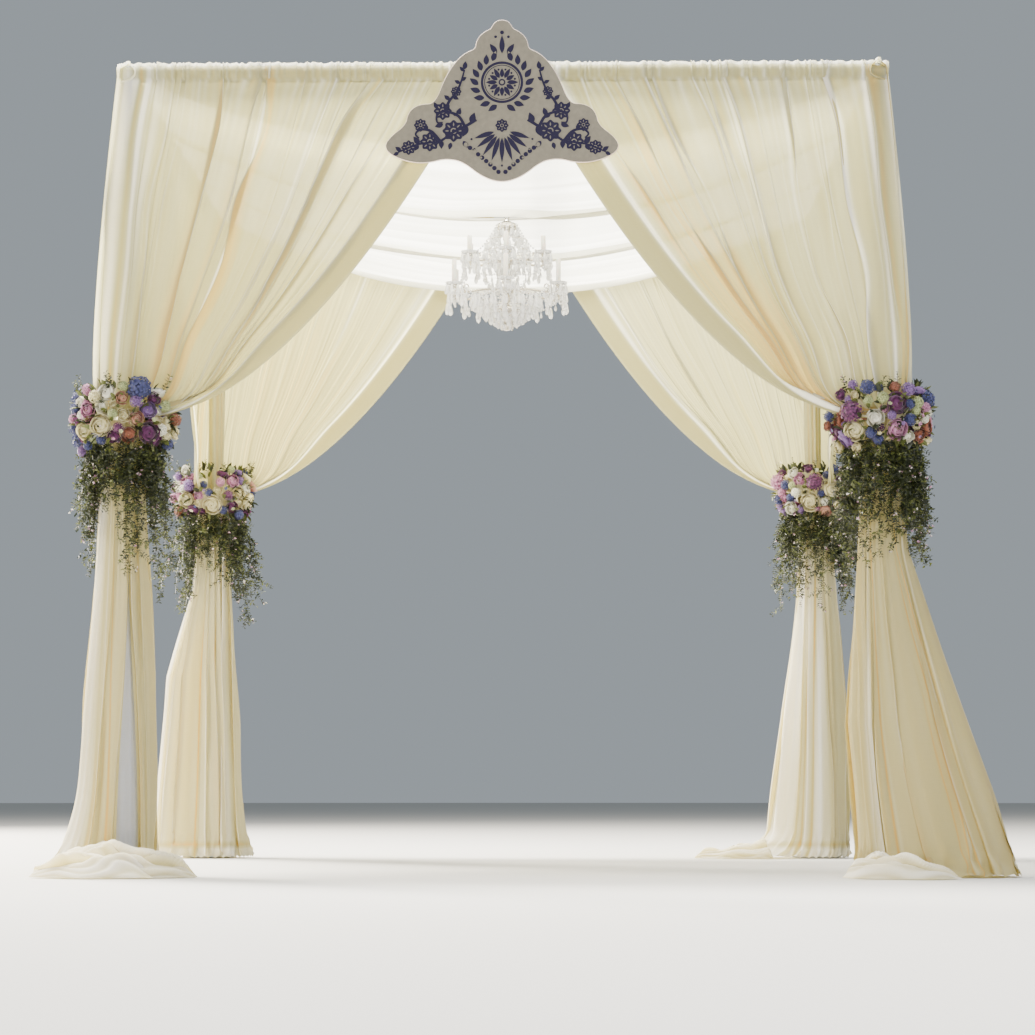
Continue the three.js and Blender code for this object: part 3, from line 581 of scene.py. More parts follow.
def legSheet(name, seed):
    rng = random.Random(seed)
    seam, lap = legSeam[name]
    share = np.linspace(0, 1, leg["columns"] + 1)
    height = tieHeight * (1 - np.linspace(0, 1, leg["rows"] + 1) ** 0.8)
    t, z = np.meshgrid(share, height)
    up = z / tieHeight
    widen = smooth01((0.72 - up) / 0.6)
    spanned = 2 * np.pi + math.radians(lap) * widen
    thread = math.radians(seam) - math.radians(lap) * widen / 2 + t * spanned
    angle = fannedAngle(name, thread, z)
    radius = legRadius(name, angle, z)
    wander = t + 0.008 * np.sin(5 * up + 11 * t + rng.uniform(0, 6)) * np.sin(np.pi * t)
    big, bigLean, doubledShade = pleatLayer(rng, wander, up, leg["bigFolds"], tuck=0.40, edge=0.0022, least=0.1)
    middle, middleLean = foldLayer(rng, wander, up, leg["middleFolds"], lean=0.4, least=0.1)
    fine, _ = foldLayer(rng, t, up, leg["fineFolds"], least=0.0)
    gathered = smooth01((up - 0.5) / 0.5)
    bigDepth = 0.016 + 0.016 * np.sin(np.pi * np.clip(1 - up, 0, 1) * 0.6) - 0.004 * gathered
    middleDepth = 0.004 + 0.005 * gathered
    fineDepth = 0.0012 + 0.002 * gathered
    depth = bigDepth * (1 - big) + middleDepth * (1 - middle) + fineDepth * (1 - fine)
    lapping = 0.006 * np.clip(1 - t * 14, 0, 1) if lap > 0 else 0.0
    crumple = np.clip(1 - z / 0.16, 0, 1) ** 1.5
    rumple = crumple * 0.012 * (np.sin(23 * angle + 60 * z) + np.sin(41 * angle - 35 * z + seed))
    radius = radius - depth - lapping + rumple * np.clip(z / 0.01, 0, 1)
    radius = np.maximum(radius, leg["plateRadius"] * smooth01((0.07 - z) / 0.04))
    angle = angle + (bigLean + middleLean) * 2 * np.pi * (0.4 + 0.6 * (1 - gathered))
    floor = 0.003 + 0.010 * crumple * np.abs(np.sin(17 * angle + seed))
    points = aroundPost(name, radius, angle, np.maximum(z, floor))
    # Layers: painted shade in the folds, a little lighter towards the tie, and the leg's painted shade all
    # over
    valleyShade = np.clip(1 - 0.65 * big - 0.35 * middle, 0, 1)
    paintedLegShade, paintedFoldShade, lines = legLook[name][2:]
    foldShading = 0.7 * doubledShade + paintedFoldShade * valleyShade ** 2
    layers = paintedLegShade + foldShading * (1 - 0.7 * gathered) - 0.1 * gathered
    for towards, width, fromHeight, amount in lines:
        beside = np.angle(np.exp(1j * (thread - math.radians(towards))))
        shown = smooth01((fromHeight - up) / 0.3) * (0.8 + 0.2 * np.sin(7 * up + towards))
        layers = layers + amount * shown * np.exp(-(beside / math.radians(width)) ** 2)
    if "back" in name:
        # Their hems lie on the floor, with a line of stitches above
        layers = layers + 0.5 * np.exp(-((z - 0.070) / 0.007) ** 2) - 0.5 * smooth01((0.064 - z) / 0.01)
    layers = np.clip(layers, -1, 0.95)
    flat = flatGrid(share * leg["flatWidth"], height[0] - height)
    piece = clothMesh("leg_cloth_" + name, points, flat, layers, gatheredVoilePaintedLighter, flip=True)
    hangSheet(piece, ["leg_drape_" + name], "ivory_voile")
    clothPoints.append(points[::2, ::9].reshape(-1, 3))


lining = {
    "top": 1.55, "rows": 34, "columns": 120, "folds": 22, "inside": 0.66, "gap": 0.050, "flatWidth": 1.1}


def legLining(name, seed):
    c = lining
    rng = random.Random(seed)
    share = np.linspace(0, 1, c["columns"], endpoint=False)
    height = np.linspace(c["top"], 0.004, c["rows"])
    t, z = np.meshgrid(share, height)
    angle = 2 * np.pi * t
    folds, _ = foldLayer(rng, t, z / tieHeight, c["folds"], least=0.2)
    wrinkle = 0.002 * np.sin(90 * z + 4 * np.sin(9 * angle))
    inside = np.minimum(plainLegRadius(z) * c["inside"], legRadius(name, angle, z) - c["gap"])
    points = aroundPost(name, inside - 0.010 * (1 - folds) + wrinkle, angle, z)
    flat = np.stack([t * c["flatWidth"], z], axis=-1)
    piece = clothMesh("leg_lining_" + name, points, flat, 0 * t, liningVoilePaintedShade, closed=True, flip=True)
    hangSheet(piece, [], "white_voile")


# A gathered strip hides each post from the tie up to the rails, fuller towards the middle of the arbor
postSleeve = {
    "close": 0.0275, "full": 0.040, "top": 0.052, "columns": 110, "rows": 40, "folds": 13, "smallFolds": 29,
    "flatWidth": 0.60, "lapped": 1.04,
}


def inwardAngle(name):
    return math.atan2(-cornerSign[name][1], -cornerSign[name][0])


def postCloth(name, seed):
    c = postSleeve
    rng = random.Random(seed)
    share = np.linspace(0, 1, c["columns"] + 1)
    height = np.linspace(railHeight - c["top"], tieHeight - 0.02, c["rows"])
    t, z = np.meshgrid(share, height)
    inward = inwardAngle(name)
    angle = inward + 2 * np.pi * (t - 0.5) * c["lapped"]
    facing = np.clip(np.cos(angle - inward), 0, 1) ** 0.6
    up = (z - tieHeight) / (railHeight - tieHeight)
    folds, _ = foldLayer(rng, t + 0.02 * np.sin(5 * up), up, c["folds"], least=0.3)
    small, _ = foldLayer(rng, t, up, c["smallFolds"], least=0.1)
    room = c["full"] * facing * (0.75 + 0.25 * np.sin(np.pi * np.clip(up, 0, 1)))
    radius = c["close"] + room * (0.55 + 0.45 * folds) + 0.004 * facing * small
    points = aroundPost(name, radius, angle, z)
    # Painted shade in the valleys of its folds
    layers = np.clip(0.20 + 0.55 * (1 - folds) ** 2, 0, 0.8)
    flat = np.stack([t * c["flatWidth"], z], axis=-1)
    piece = clothMesh("post_cloth_" + name, points, flat, layers, ivoryVoile, flip=True)
    hangSheet(piece, [], "ivory_voile")


for name, legSeed, liningSeed, sleeveSeed in zip(
        cornerNames, (300, 311, 302, 303), range(320, 324), range(340, 344)):
    legSheet(name, legSeed)
    legLining(name, liningSeed)
    postCloth(name, sleeveSeed)


# Cloth left over at three of the feet lies on the floor as a gathered tail along a curved path
tails = {
    "front_left": {
        "points": [(-0.20, -0.17), (-0.05, -0.27), (0.13, -0.30), (0.36, -0.25)], "folds": 6, "seed": 41,
        "width": [0.22, 0.30, 0.26, 0.13], "height": [0.12, 0.17, 0.15, 0.06], "swing": 0.12, "twist": 1.6},
    "front_left_roll": {
        "points": [(-0.24, -0.26), (-0.16, -0.37), (0.02, -0.41), (0.20, -0.37)], "folds": 5, "seed": 44,
        "width": [0.16, 0.20, 0.24, 0.16], "height": [0.07, 0.11, 0.13, 0.05], "swing": 0.12, "twist": -1.6},
    "front_right": {
        "points": [(-0.18, -0.28), (-0.04, -0.42), (0.10, -0.45), (0.24, -0.42)], "folds": 4, "seed": 42,
        "width": [0.12, 0.22, 0.22, 0.10], "height": [0.06, 0.14, 0.09, 0.02], "swing": 0.12, "twist": 1.0},
    "back_right": {
        "points": [(-0.26, -0.13), (-0.38, -0.15), (-0.50, -0.13), (-0.64, -0.12)], "folds": 5, "seed": 43,
        "width": [0.28, 0.24, 0.18, 0.10], "height": [0.12, 0.10, 0.06, 0.03], "swing": 0.06, "twist": 0.5},
}
tailSheet = {"rows": 90, "columns": 111, "flatWidth": 0.9, "flatLength": 0.8}


def floorTail(name):
    tail = tails[name]
    seed = tail["seed"]
    rng = random.Random(seed)
    run = np.linspace(0, 1, tailSheet["rows"])
    across = np.linspace(-1, 1, tailSheet["columns"])
    stations = np.linspace(0, 1, len(tail["points"]))

    def blurred(values):
        shifts = np.linspace(-0.12, 0.12, 9)
        return np.mean([np.interp(run + shift, stations, values) for shift in shifts], axis=0)

    centre = np.stack([blurred([point[axis] for point in tail["points"]]) for axis in (0, 1)], axis=-1)
    direction = np.gradient(centre, axis=0)
    direction /= np.linalg.norm(direction, axis=1)[:, None]
    side = np.stack([-direction[:, 1], direction[:, 0]], axis=-1)
    width, height = blurred(tail["width"]), blurred(tail["height"])
    a, r = np.meshgrid(across, run)
    share = (a + 1) / 2
    wander = share + tail["swing"] * np.sin(5 * r + 3 * a + rng.uniform(0, 6)) * (1 - a ** 2)
    wander = (wander + tail["twist"] * 0.25 * (r - 0.5) * (1 - a ** 2)) % 1.0
    big, bigLean, doubledShade = pleatLayer(rng, wander, r, tail["folds"], tuck=0.45, edge=0.0040, least=0.3)
    small, _ = foldLayer(rng, (wander + 0.03 * np.sin(14 * r)) % 1.0, r, tail["folds"] * 3, least=0.3)
    hump = np.maximum(1 - np.abs(a) ** 2.4, 0) ** 0.7
    lift = height[:, None] * hump * (0.38 + 0.40 * big + 0.22 * small)
    lift *= 1 + 0.16 * np.sin(11 * r + 6 * a + seed) * np.sin(7 * a - 5 * r)
    lift *= smooth01(r / 0.10) ** 0.6 * smooth01((1 - r) / 0.16) ** 0.6
    wobble = a * (1 + 0.12 * np.sin(15 * r + seed)) + 2 * bigLean + 0.05 * np.sin(9 * r + 2 * a)
    offset = width[:, None] / 2 * wobble
    corner = name.replace("_roll", "")
    place = postPlace[corner]
    points = np.stack([place.x + centre[:, None, 0] + side[:, None, 0] * offset,
                       place.y + centre[:, None, 1] + side[:, None, 1] * offset,
                       0.004 + 0.004 * big + lift], axis=-1)
    # The tail is painted near white as a highlight, with painted shade in its folds and where it lies double
    layers = np.clip(0.8 * doubledShade + 0.5 * (1 - big) ** 2 + 0.8 * (1 - small) ** 2 - 1.45, -1, 0.4)
    flat = np.stack([share * tailSheet["flatWidth"], r * tailSheet["flatLength"]], axis=-1)
    piece = clothMesh("tail_" + name, points, flat, layers, gatheredVoilePaintedLighter)
    hangSheet(piece, [], "ivory_voile")


for name in tails:
    floorTail(name)

# Finishes other than cloth. Two colours mix in a mottle, and a grain roughens or dents the surface, each
# given as patches a metre and finer detail, on Object coordinates. The glow is the light let through.
finishes = {
    # Zinc coated tube: cool grey in 70 mm clouds, brushed to a grain of 0.5 to 4 mm, half dull
    "brushed galvanised steel": {
        "colours": ("9fa3a6", "c3c6c8"), "mottle": (14, 4), "grain": (240, 3), "rough": (0.32, 0.52),
        "bump": (0.15, 0.0004), "surface": {"Metallic": 0.95}},
    # Powder coat on steel plate: 0.3 to 1 mm orange peel that breaks up its dull shine
    "satin black powder coat": {
        "colours": ("29292b",), "grain": (900, 2), "bump": (0.3, 0.0003), "surface": {"Roughness": 0.48}},
    # Nickel on brass: warm silver, nearly a mirror, with faint wiping marks
    "polished nickel plate": {
        "colours": ("d8d2c6",), "grain": (90, 3), "rough": (0.10, 0.26), "surface": {"Metallic": 1.0}},
    # Cut and polished: half of it is painted white, a painted highlight in place of the sparkle of its many
    # small facets
    "cut lead crystal": {
        "colours": ("ffffff",), "surface": {
            "Roughness": 0.05, "IOR": 1.55, "Transmission Weight": 0.45, "Coat Weight": 0.5,
            "Coat Roughness": 0.02}},
    # Moulded candle sleeve: milky white and waxy
    "milky polyethylene sleeve": {
        "colours": ("ece8dc", "faf7ee"), "mottle": (120, 2), "surface": {
            "Roughness": 0.42, "Subsurface Weight": 0.2, "Subsurface Scale": 0.004}},
    # Plywood board, painted and rolled on: roller stipple of about 2 mm, slightly uneven colour
    "matt taupe board paint": {
        "colours": ("605b4f", "767164"), "mottle": (55, 6), "grain": (420, 3), "bump": (0.35, 0.0005),
        "surface": {"Roughness": 0.82}},
    # The board's sawn edge, sealed with a thin pale wash: rosy cream, a little open grained
    "pale washed plywood edge": {
        "colours": ("d3b9a6", "eddccf"), "mottle": (160, 4), "surface": {"Roughness": 0.7}},
    # Screen ink, laid thick: nearly matt, a trace of purple
    "navy screen ink": {
        "colours": ("0a0720", "171130"), "mottle": (300, 2), "surface": {
            "Roughness": 0.7, "Specular IOR Level": 0.25}},
    # Dyed polyester leaves, pressed: dull, blotched over 20 mm, some light comes through
    "dark olive silk leaves": {
        "colours": ("12160a", "333b1e"), "mottle": (50, 3), "glow": 0.25, "surface": {"Roughness": 0.5}},
    "light olive silk leaves": {
        "colours": ("333919", "686f35"), "mottle": (50, 3), "glow": 0.25, "surface": {"Roughness": 0.5}},
    "pale matt floor": {"colours": ("c2c0bb",), "surface": {"Roughness": 0.9}},
}


def newFinish(name):
    look = finishes[name]
    material, tree = newMaterial(name)
    noise = {}
    for part in ("mottle", "grain"):
        if part in look:
            place = addNode(tree, "ShaderNodeTexCoord")
            noise[part] = addNode(tree, "ShaderNodeTexNoise", {
                "Vector": place.outputs["Object"], "Scale": look[part][0], "Detail": look[part][1]})
    colours = [linearColour(colour) for colour in look["colours"]]
    inputs = {"Base Color": colours[0], **look["surface"]}
    if "mottle" in look:
        tone = addNode(tree, "ShaderNodeMix", {
            0: noise["mottle"].outputs["Fac"], 6: colours[0], 7: colours[1]}, data_type="RGBA")
        inputs["Base Color"] = tone.outputs[2]
    if "rough" in look:
        rough = addNode(tree, "ShaderNodeMapRange", {
            "Value": noise["grain"].outputs["Fac"], "To Min": look["rough"][0], "To Max": look["rough"][1]})
        inputs["Roughness"] = rough.outputs["Result"]
    if "bump" in look:
        strength, distance = look["bump"]
        bump = addNode(tree, "ShaderNodeBump", {
            "Height": noise["grain"].outputs["Fac"], "Strength": strength, "Distance": distance})
        inputs["Normal"] = bump.outputs["Normal"]
    surface = addNode(tree, "ShaderNodeBsdfPrincipled", inputs)
    if "glow" in look:
        glow = addNode(tree, "ShaderNodeBsdfTranslucent", {"Color": inputs["Base Color"]})
        surface = addNode(tree, "ShaderNodeMixShader", {
            0: look["glow"], 1: surface.outputs[0], 2: glow.outputs[0]})
    showSurface(tree, surface.outputs[0])
    return material


steelTube = newFinish("brushed galvanised steel")
blackPlate = newFinish("satin black powder coat")
nickel = newFinish("polished nickel plate")
crystal = newFinish("cut lead crystal")
sleeve = newFinish("milky polyethylene sleeve")
darkLeaf = newFinish("dark olive silk leaves")
lightLeaf = newFinish("light olive silk leaves")


def finishFrame():
    for name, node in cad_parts.items():
        finish = None
        if name.startswith(("post_", "rail_")) or name == "chandelier_rail":
            finish = steelTube
        elif name.startswith("base_") or name == "sign_bracket":
            finish = blackPlate
        elif name.startswith("chandelier_"):
            finish = nickel
        if finish is not None:
            node.data.materials.clear()
            node.data.materials.append(finish)
    print("frame finished")


finishFrame()


# A piece from many small meshes: each part is (vertices, faces, material index)
def gatheredMesh(name, parts, materials, smooth=True, origin=(0, 0, 0)):
    vertices, faces, kinds, start = [], [], [], 0
    for points, quads, kind in parts:
        vertices.append(points + np.array(origin))
        faces.extend([tuple(int(v) + start for v in face) for face in quads])
        kinds.extend([kind] * len(quads))
        start += len(points)
    mesh = bpy.data.meshes.new(name)
    mesh.from_pydata(np.concatenate(vertices).tolist(), [], faces)
    for material in materials:
        mesh.materials.append(material)
    mesh.polygons.foreach_set("material_index", kinds)
    mesh.polygons.foreach_set("use_smooth", [smooth] * len(mesh.polygons))
    mesh.validate()
    return newPiece(mesh)


# The points and faces of the active piece, which is then removed
def takeShape():
    piece = bpy.context.object
    points = np.array([tuple(vertex.co) for vertex in piece.data.vertices])
    faces = [tuple(polygon.vertices) for polygon in piece.data.polygons]
    bpy.data.objects.remove(piece, do_unlink=True)
    return points, faces


def turned(points, axis, turn=0.0):
    # +Z of the points is brought to axis
    matrix = np.array(Vector(axis).to_track_quat("Z", "Y").to_matrix())
    c, s = math.cos(turn), math.sin(turn)
    return points @ np.array([[c, s, 0], [-s, c, 0], [0, 0, 1]]) @ matrix.T


def spunShape(profile, segments):
    # Closed round shape from (radius, height) pairs, by a spin in edit mode
    deselectAll()
    mesh = bpy.data.meshes.new("profile")
    mesh.from_pydata([(radius, 0, height) for radius, height in profile],
                     [(n, n + 1) for n in range(len(profile) - 1)], [])
    piece = newPiece(mesh)
    bpy.context.view_layer.objects.active = piece
    piece.select_set(True)
    bpy.ops.object.mode_set(mode="EDIT")
    bpy.ops.mesh.select_all(action="SELECT")
    bpy.ops.mesh.spin(steps=segments, angle=2 * math.pi, center=(0, 0, 0), axis=(0, 0, 1))
    bpy.ops.mesh.select_all(action="SELECT")
    bpy.ops.mesh.remove_doubles(threshold=0.00005)
    bpy.ops.mesh.normals_make_consistent(inside=False)
    bpy.ops.object.mode_set(mode="OBJECT")
    return takeShape()


def tubeShape(points, radius, sides=6):
    points = np.array(points, float)
    direction = np.gradient(points, axis=0)
    direction /= np.linalg.norm(direction, axis=1)[:, None] + 1e-12
    upright = abs(direction[:, 2]).mean() >= 0.8
    first = np.cross(direction, (1.0, 0.0, 0.0) if upright else (0.0, 0.0, 1.0))
    first /= np.linalg.norm(first, axis=1)[:, None] + 1e-12
    second = np.cross(direction, first)
    radius = np.broadcast_to(radius, len(points))[:, None]
    turns = [2 * math.pi * k / sides for k in range(sides)]
    rings = [points + radius * (math.cos(turn) * first + math.sin(turn) * second) for turn in turns]
    vertices = np.stack(rings, axis=1).reshape(-1, 3)
    faces = []
    for row in range(len(points) - 1):
        for k in range(sides):
            a, b = row * sides + k, row * sides + (k + 1) % sides
            faces.append((a, a + sides, b + sides, b))
    faces.append(tuple(range(sides)))
    faces.append(tuple(reversed(range((len(points) - 1) * sides, len(points) * sides))))
    return vertices, faces


# Chandelier
lampAxis = boxMiddle("chandelier_column")
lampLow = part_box("chandelier_column")[0].z
lampOrigin = (lampAxis.x, lampAxis.y, lampLow)
chandelier = {
    "arms": 6, "armRadius": 0.0052, "sleeveRadius": 0.0105,
    "lower": {"hub": 0.178, "reach": 0.262, "cup": 0.181, "candle": 0.112, "dip": 0.042},
    "upper": {"hub": 0.308, "reach": 0.186, "cup": 0.325, "candle": 0.078, "dip": 0.030},
    "bead": 0.0052, "smallBead": 0.004, "beadPitch": 0.0125, "crown": 0.046, "crownHeight": 0.470,
    "strandDrop": (0.026, 0.012), "prism": (0.040, 0.016),
}


def ringPlace(radius, angle, height):
    return np.array([*around(radius, angle), height])


def armTurn(number):
    return math.pi / 6 + 2 * math.pi * number / chandelier["arms"]


def armEnd(tier, number, part=1.0):
    return ringPlace(chandelier[tier]["reach"] * part, armTurn(number), chandelier[tier]["cup"])


def columnPiece():
    lower, upper = chandelier["lower"]["hub"], chandelier["upper"]["hub"]
    profile = [
        (0.0, 0.0), (0.010, 0.001), (0.020, 0.007), (0.0265, 0.018), (0.028, 0.028), (0.0265, 0.038),
        (0.019, 0.049), (0.009, 0.055), (0.008, 0.060), (0.018, 0.066), (0.030, 0.074), (0.040, 0.083),
        (0.044, 0.092), (0.041, 0.101), (0.030, 0.110), (0.018, 0.115), (0.012, 0.120), (0.011, 0.128),
        (0.015, 0.140), (0.015, lower + 0.026), (0.021, lower + 0.034), (0.024, lower + 0.048),
        (0.019, lower + 0.063), (0.010, lower + 0.078), (0.010, upper - 0.034), (0.015, upper - 0.024),
        (0.015, upper + 0.026), (0.021, upper + 0.034), (0.024, upper + 0.046), (0.018, upper + 0.060),
        (0.008, upper + 0.074), (0.008, 0.423), (0.018, 0.428), (0.030, 0.437), (0.041, 0.453),
        (0.046, 0.469), (0.038, 0.477), (0.020, 0.485), (0.008, 0.491), (0.006, 0.499), (0.0, 0.499),
    ]
    bend = np.linspace(0, 2 * np.pi, 25)
    eye = np.stack([0.0095 * np.cos(bend), 0 * bend, 0.506 + 0.0095 * np.sin(bend)], axis=-1)
    parts = [(*spunShape(profile, 32), 0), (*tubeShape(eye, 0.0028, 8), 0)]
    piece = gatheredMesh("crystal_column", parts, [nickel], origin=lampOrigin)
    settle(piece, "nickel_plate", "chandelier_column")


def tierPiece(tier):
    c = chandelier
    reach, hub, dip, candleTop = (c[tier][part] for part in ("reach", "hub", "dip", "candle"))
    ring, ringFaces = spunShape([(0.0154, -0.014), (0.024, -0.014), (0.029, -0.006), (0.029, 0.006),
                                 (0.024, 0.014), (0.0154, 0.014), (0.0154, -0.014)], 24)
    cup, cupFaces = spunShape([(0.0, -0.012), (0.007, -0.010), (0.010, -0.004), (0.007, 0.0), (0.014, 0.003),
                               (0.014, 0.018), (0.0118, 0.018), (0.0118, 0.006), (0.0, 0.006)], 16)
    pan, panFaces = spunShape([(0.012, 0.002), (0.024, 0.001), (0.033, 0.005), (0.038, 0.011),
                               (0.0385, 0.0125), (0.037, 0.0125), (0.032, 0.0075), (0.024, 0.004),
                               (0.012, 0.0045), (0.012, 0.002)], 20)
    candle, candleFaces = spunShape([
        (0.0, 0.007), (c["sleeveRadius"], 0.007), (c["sleeveRadius"], candleTop),
        (0.0085, candleTop + 0.003), (0.004, candleTop + 0.003), (0.0035, candleTop - 0.006),
        (0.0, candleTop - 0.006)], 16)
    parts = [(ring + (0, 0, hub), ringFaces, 0)]
    for number in range(c["arms"]):
        end = armEnd(tier, number)
        outward = end[:2] / np.linalg.norm(end[:2])
        t = np.linspace(0, 1, 15)[:, None]
        handles = np.array([[0.021, hub], [reach * 0.45, hub + 0.45 * dip],
                            [reach * 1.02, end[2] - 1.6 * dip], [reach, end[2] - 0.004]])
        bow = ((1 - t) ** 3 * handles[0] + 3 * t * (1 - t) ** 2 * handles[1]
               + 3 * t ** 2 * (1 - t) * handles[2] + t ** 3 * handles[3])
        path = np.column_stack([bow[:, :1] * outward, bow[:, 1]])
        swell = c["armRadius"] * (1 + 0.22 * np.sin(7 * math.pi * t[:, 0]) ** 2)
        curl = np.linspace(0, 1.55 * math.pi, 14)
        spiral = 0.020 - 0.0075 * curl / math.pi
        middle = path[8] + (0, 0, 0.021)
        scroll = np.column_stack([middle[:2] + spiral[:, None] * outward * np.sin(curl)[:, None],
                                  middle[2] - spiral * np.cos(curl)])
        parts += [(*tubeShape(path, swell, 8), 0), (*tubeShape(scroll, 0.0030, 6), 0),
                  (cup + end, cupFaces, 0), (pan + end, panFaces, 1), (candle + end, candleFaces, 2)]
    piece = gatheredMesh(tier + "_arms", parts, [nickel, crystal, sleeve], origin=lampOrigin)
    settle(piece, "nickel_plate", f"chandelier_{tier}_arms")


def chainPiece():
    low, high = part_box("chandelier_chain")
    ringRadius, wire, linkWire, links = 0.026, 0.003, 0.0024, 13
    bend = np.linspace(0, 2 * np.pi, 33)
    ringMiddle = high.z - ringRadius - wire
    ring = np.stack([ringRadius * np.cos(bend), 0 * bend, ringMiddle + ringRadius * np.sin(bend)], axis=-1)
    parts = [(*tubeShape(ring, wire, 8), 0)]
    start = ringMiddle - ringRadius
    pitch = (start - (low.z + 1.5 * wire)) / links
    for link in range(links):
        middle = start - pitch * (link + 0.5)
        wide = (pitch / 3) * np.cos(bend[::2])
        tall = (pitch / 2) * np.sin(bend[::2])
        across, along = (0 * wide, wide) if link % 2 == 0 else (wide, 0 * wide)
        parts.append((*tubeShape(np.stack([across, along, middle + tall], axis=-1), linkWire, 6), 0))
    piece = gatheredMesh("hanging_chain", parts, [nickel], origin=(lampAxis.x, lampAxis.y, 0))
    settle(piece, "nickel_plate", "chandelier_chain")


def cutBead():
    deselectAll()
    bpy.ops.mesh.primitive_ico_sphere_add(subdivisions=1, radius=1.0)
    return takeShape()


def cutDrop():
    # Almond pendant: six facets round, widest low down, hung by its upper tip
    rings = [(0.0, 0.0), (0.22, -0.14), (0.50, -0.70), (0.34, -0.94), (0.0, -1.06)]
    return spunShape(rings, 6)


def strand(start, end, sag):
    # Bead places along a hanging string, evenly spaced
    t = np.linspace(0, 1, 60)[:, None]
    line = np.array(start) * (1 - t) + np.array(end) * t
    line[:, 2] -= 4 * sag * t[:, 0] * (1 - t[:, 0])
    length = alongPath(line)
    count = max(int(length[-1] / chandelier["beadPitch"]), 2)
    places = np.linspace(0, length[-1], count)
    return np.stack([np.interp(places, length, line[:, axis]) for axis in range(3)], axis=-1)


# Hoops of drops round the column as (radius, height, drops, length), and the hoops that have a wire
dropRings = [
    (0.150, 0.150, 22, 0.052), (0.122, 0.122, 18, 0.052), (0.096, 0.102, 14, 0.052),
    (0.070, 0.082, 11, 0.050), (0.044, 0.066, 8, 0.048), (0.022, 0.052, 5, 0.044),
    (0.070, 0.330, 10, 0.040), (0.105, 0.345, 14, 0.040), (0.040, 0.285, 7, 0.040),
    (0.052, 0.455, 9, 0.042), (0.066, 0.425, 10, 0.036), (0.090, 0.395, 12, 0.036),
    (0.045, 0.205, 8, 0.042), (0.080, 0.215, 12, 0.040)]
wireHoops = [(0.150, 0.156), (0.122, 0.128), (0.096, 0.108), (0.105, 0.351), (0.090, 0.401)]
# Strings of beads from each arm to the next as (tier, share of the reach, sag)
garlands = [("upper", 1.15, 0.048), ("upper", 0.62, 0.030), ("lower", 1.11, 0.060), ("lower", 0.80, 0.055)]


def crystalPieces():
    c = chandelier
    bead, beadFaces = cutBead()
    drop, dropFaces = cutDrop()
    beads, drops = [], []

    def hangDrop(place, length, width):
        drops.append((drop * (width, width, length) + place - (0, 0, 0.004), dropFaces, 0))
        beads.append((bead * c["smallBead"] + place, beadFaces, 0))

    def thread(start, end, sag, size=1.0, every=0):
        for number, place in enumerate(strand(start, end, sag)):
            beads.append((bead * c["bead"] * size + place, beadFaces, 0))
            if every and number % every == every // 2:
                hangDrop(place - (0, 0, 0.005), *c["strandDrop"])

    for number in range(c["arms"]):
        turn = armTurn(number)
        middle = turn + math.pi / c["arms"]
        upper, lower = armEnd("upper", number), armEnd("lower", number)
        crown = ringPlace(c["crown"], turn, c["crownHeight"])
        thread(crown, upper * (0.86, 0.86, 1) + (0, 0, 0.010), 0.045, every=3)
        crown = ringPlace(c["crown"], middle, c["crownHeight"])
        thread(crown, ringPlace(0.165, middle, 0.345), 0.030, every=3)
        thread(upper * (1.12, 1.12, 1), lower * (0.90, 0.90, 1) + (0, 0, 0.012), 0.030, every=4)
        for tier, part, sag in garlands:
            thread(armEnd(tier, number, part), armEnd(tier, number + 1, part), sag, every=3)
        below = (0, 0, 0.020)
        thread(armEnd("lower", number, 0.55) - below, armEnd("lower", number + 1, 0.55) - below, 0.045)
        for tier, prisms in (("upper", 7), ("lower", 8)):
            for prism in range(prisms):
                rim = ringPlace(0.0365, turn + 2 * math.pi * prism / prisms, 0.006)
                hangDrop(armEnd(tier, number) + rim, *c["prism"])
        for tier, slope in (("lower", 0.046), ("upper", 0.034)):
            for part, length in ((0.30, 0.034), (0.46, 0.038), (0.62, 0.040), (0.78, 0.042)):
                hangDrop(armEnd(tier, number, part) - (0, 0, slope * part + 0.012), length, 0.018)
        for shift in (-0.3, 0.0, 0.3):
            hangDrop(ringPlace(0.262, middle + shift, 0.128 + 0.10 * shift ** 2), 0.052, 0.021)
            hangDrop(ringPlace(0.190, middle + shift, 0.276), 0.040, 0.018)
        for shift in (-0.35, 0.0, 0.35):
            angle = turn + shift
            thread(ringPlace(0.150, angle, 0.156), ringPlace(0.044, angle, 0.070), 0.026, size=0.9)
    for radius, height, count, length in dropRings:
        for number in range(count):
            hangDrop(ringPlace(radius, 2 * math.pi * (number + 0.3) / count, height), length, 0.45 * length)
    for radius, height in wireHoops:
        bend = np.linspace(0, 2 * np.pi, 49)
        hoop = np.stack([radius * np.cos(bend), radius * np.sin(bend), np.full_like(bend, height)], axis=-1)
        beads.append((*tubeShape(hoop, 0.0018, 6), 1))
    piece = gatheredMesh("crystal_strands", beads, [crystal, nickel], smooth=False, origin=lampOrigin)
    settle(piece, "crystal")
    print("crystal_strands:", len(piece.data.polygons), "faces")
    piece = gatheredMesh("crystal_drops", drops, [crystal], smooth=False, origin=lampOrigin)
    settle(piece, "crystal", "chandelier_crystals")
    print("crystal_drops:", len(drops), "drops")


columnPiece()
tierPiece("lower")
tierPiece("upper")
chainPiece()
crystalPieces()
print("chandelier hung")

# Sign board: a crowned outline, as control point and end point of each curve, in mm from the top middle
signBoard = {
    "side": [(26, 0, 38, 24), (42, 34, 54, 40), (100, 62, 105, 102), (107, 118, 122, 124),
             (200, 152, 252, 292), (272, 344, 300, 346), (372, 346, 386, 404), (388, 432, 430, 462),
             (472, 496, 472, 518), (472, 552, 392, 576), (330, 594, 268, 578), (230, 566, 186, 576),
             (160, 582, 128, 606), (60, 663, 0, 663)],
    "steps": 10, "halfThick": 0.006, "bevel": 0.0022, "relief": 0.0012, "layerStep": 0.0002,
}
signLow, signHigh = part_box("sign_panel")
signMiddleX = (signLow.x + signHigh.x) / 2


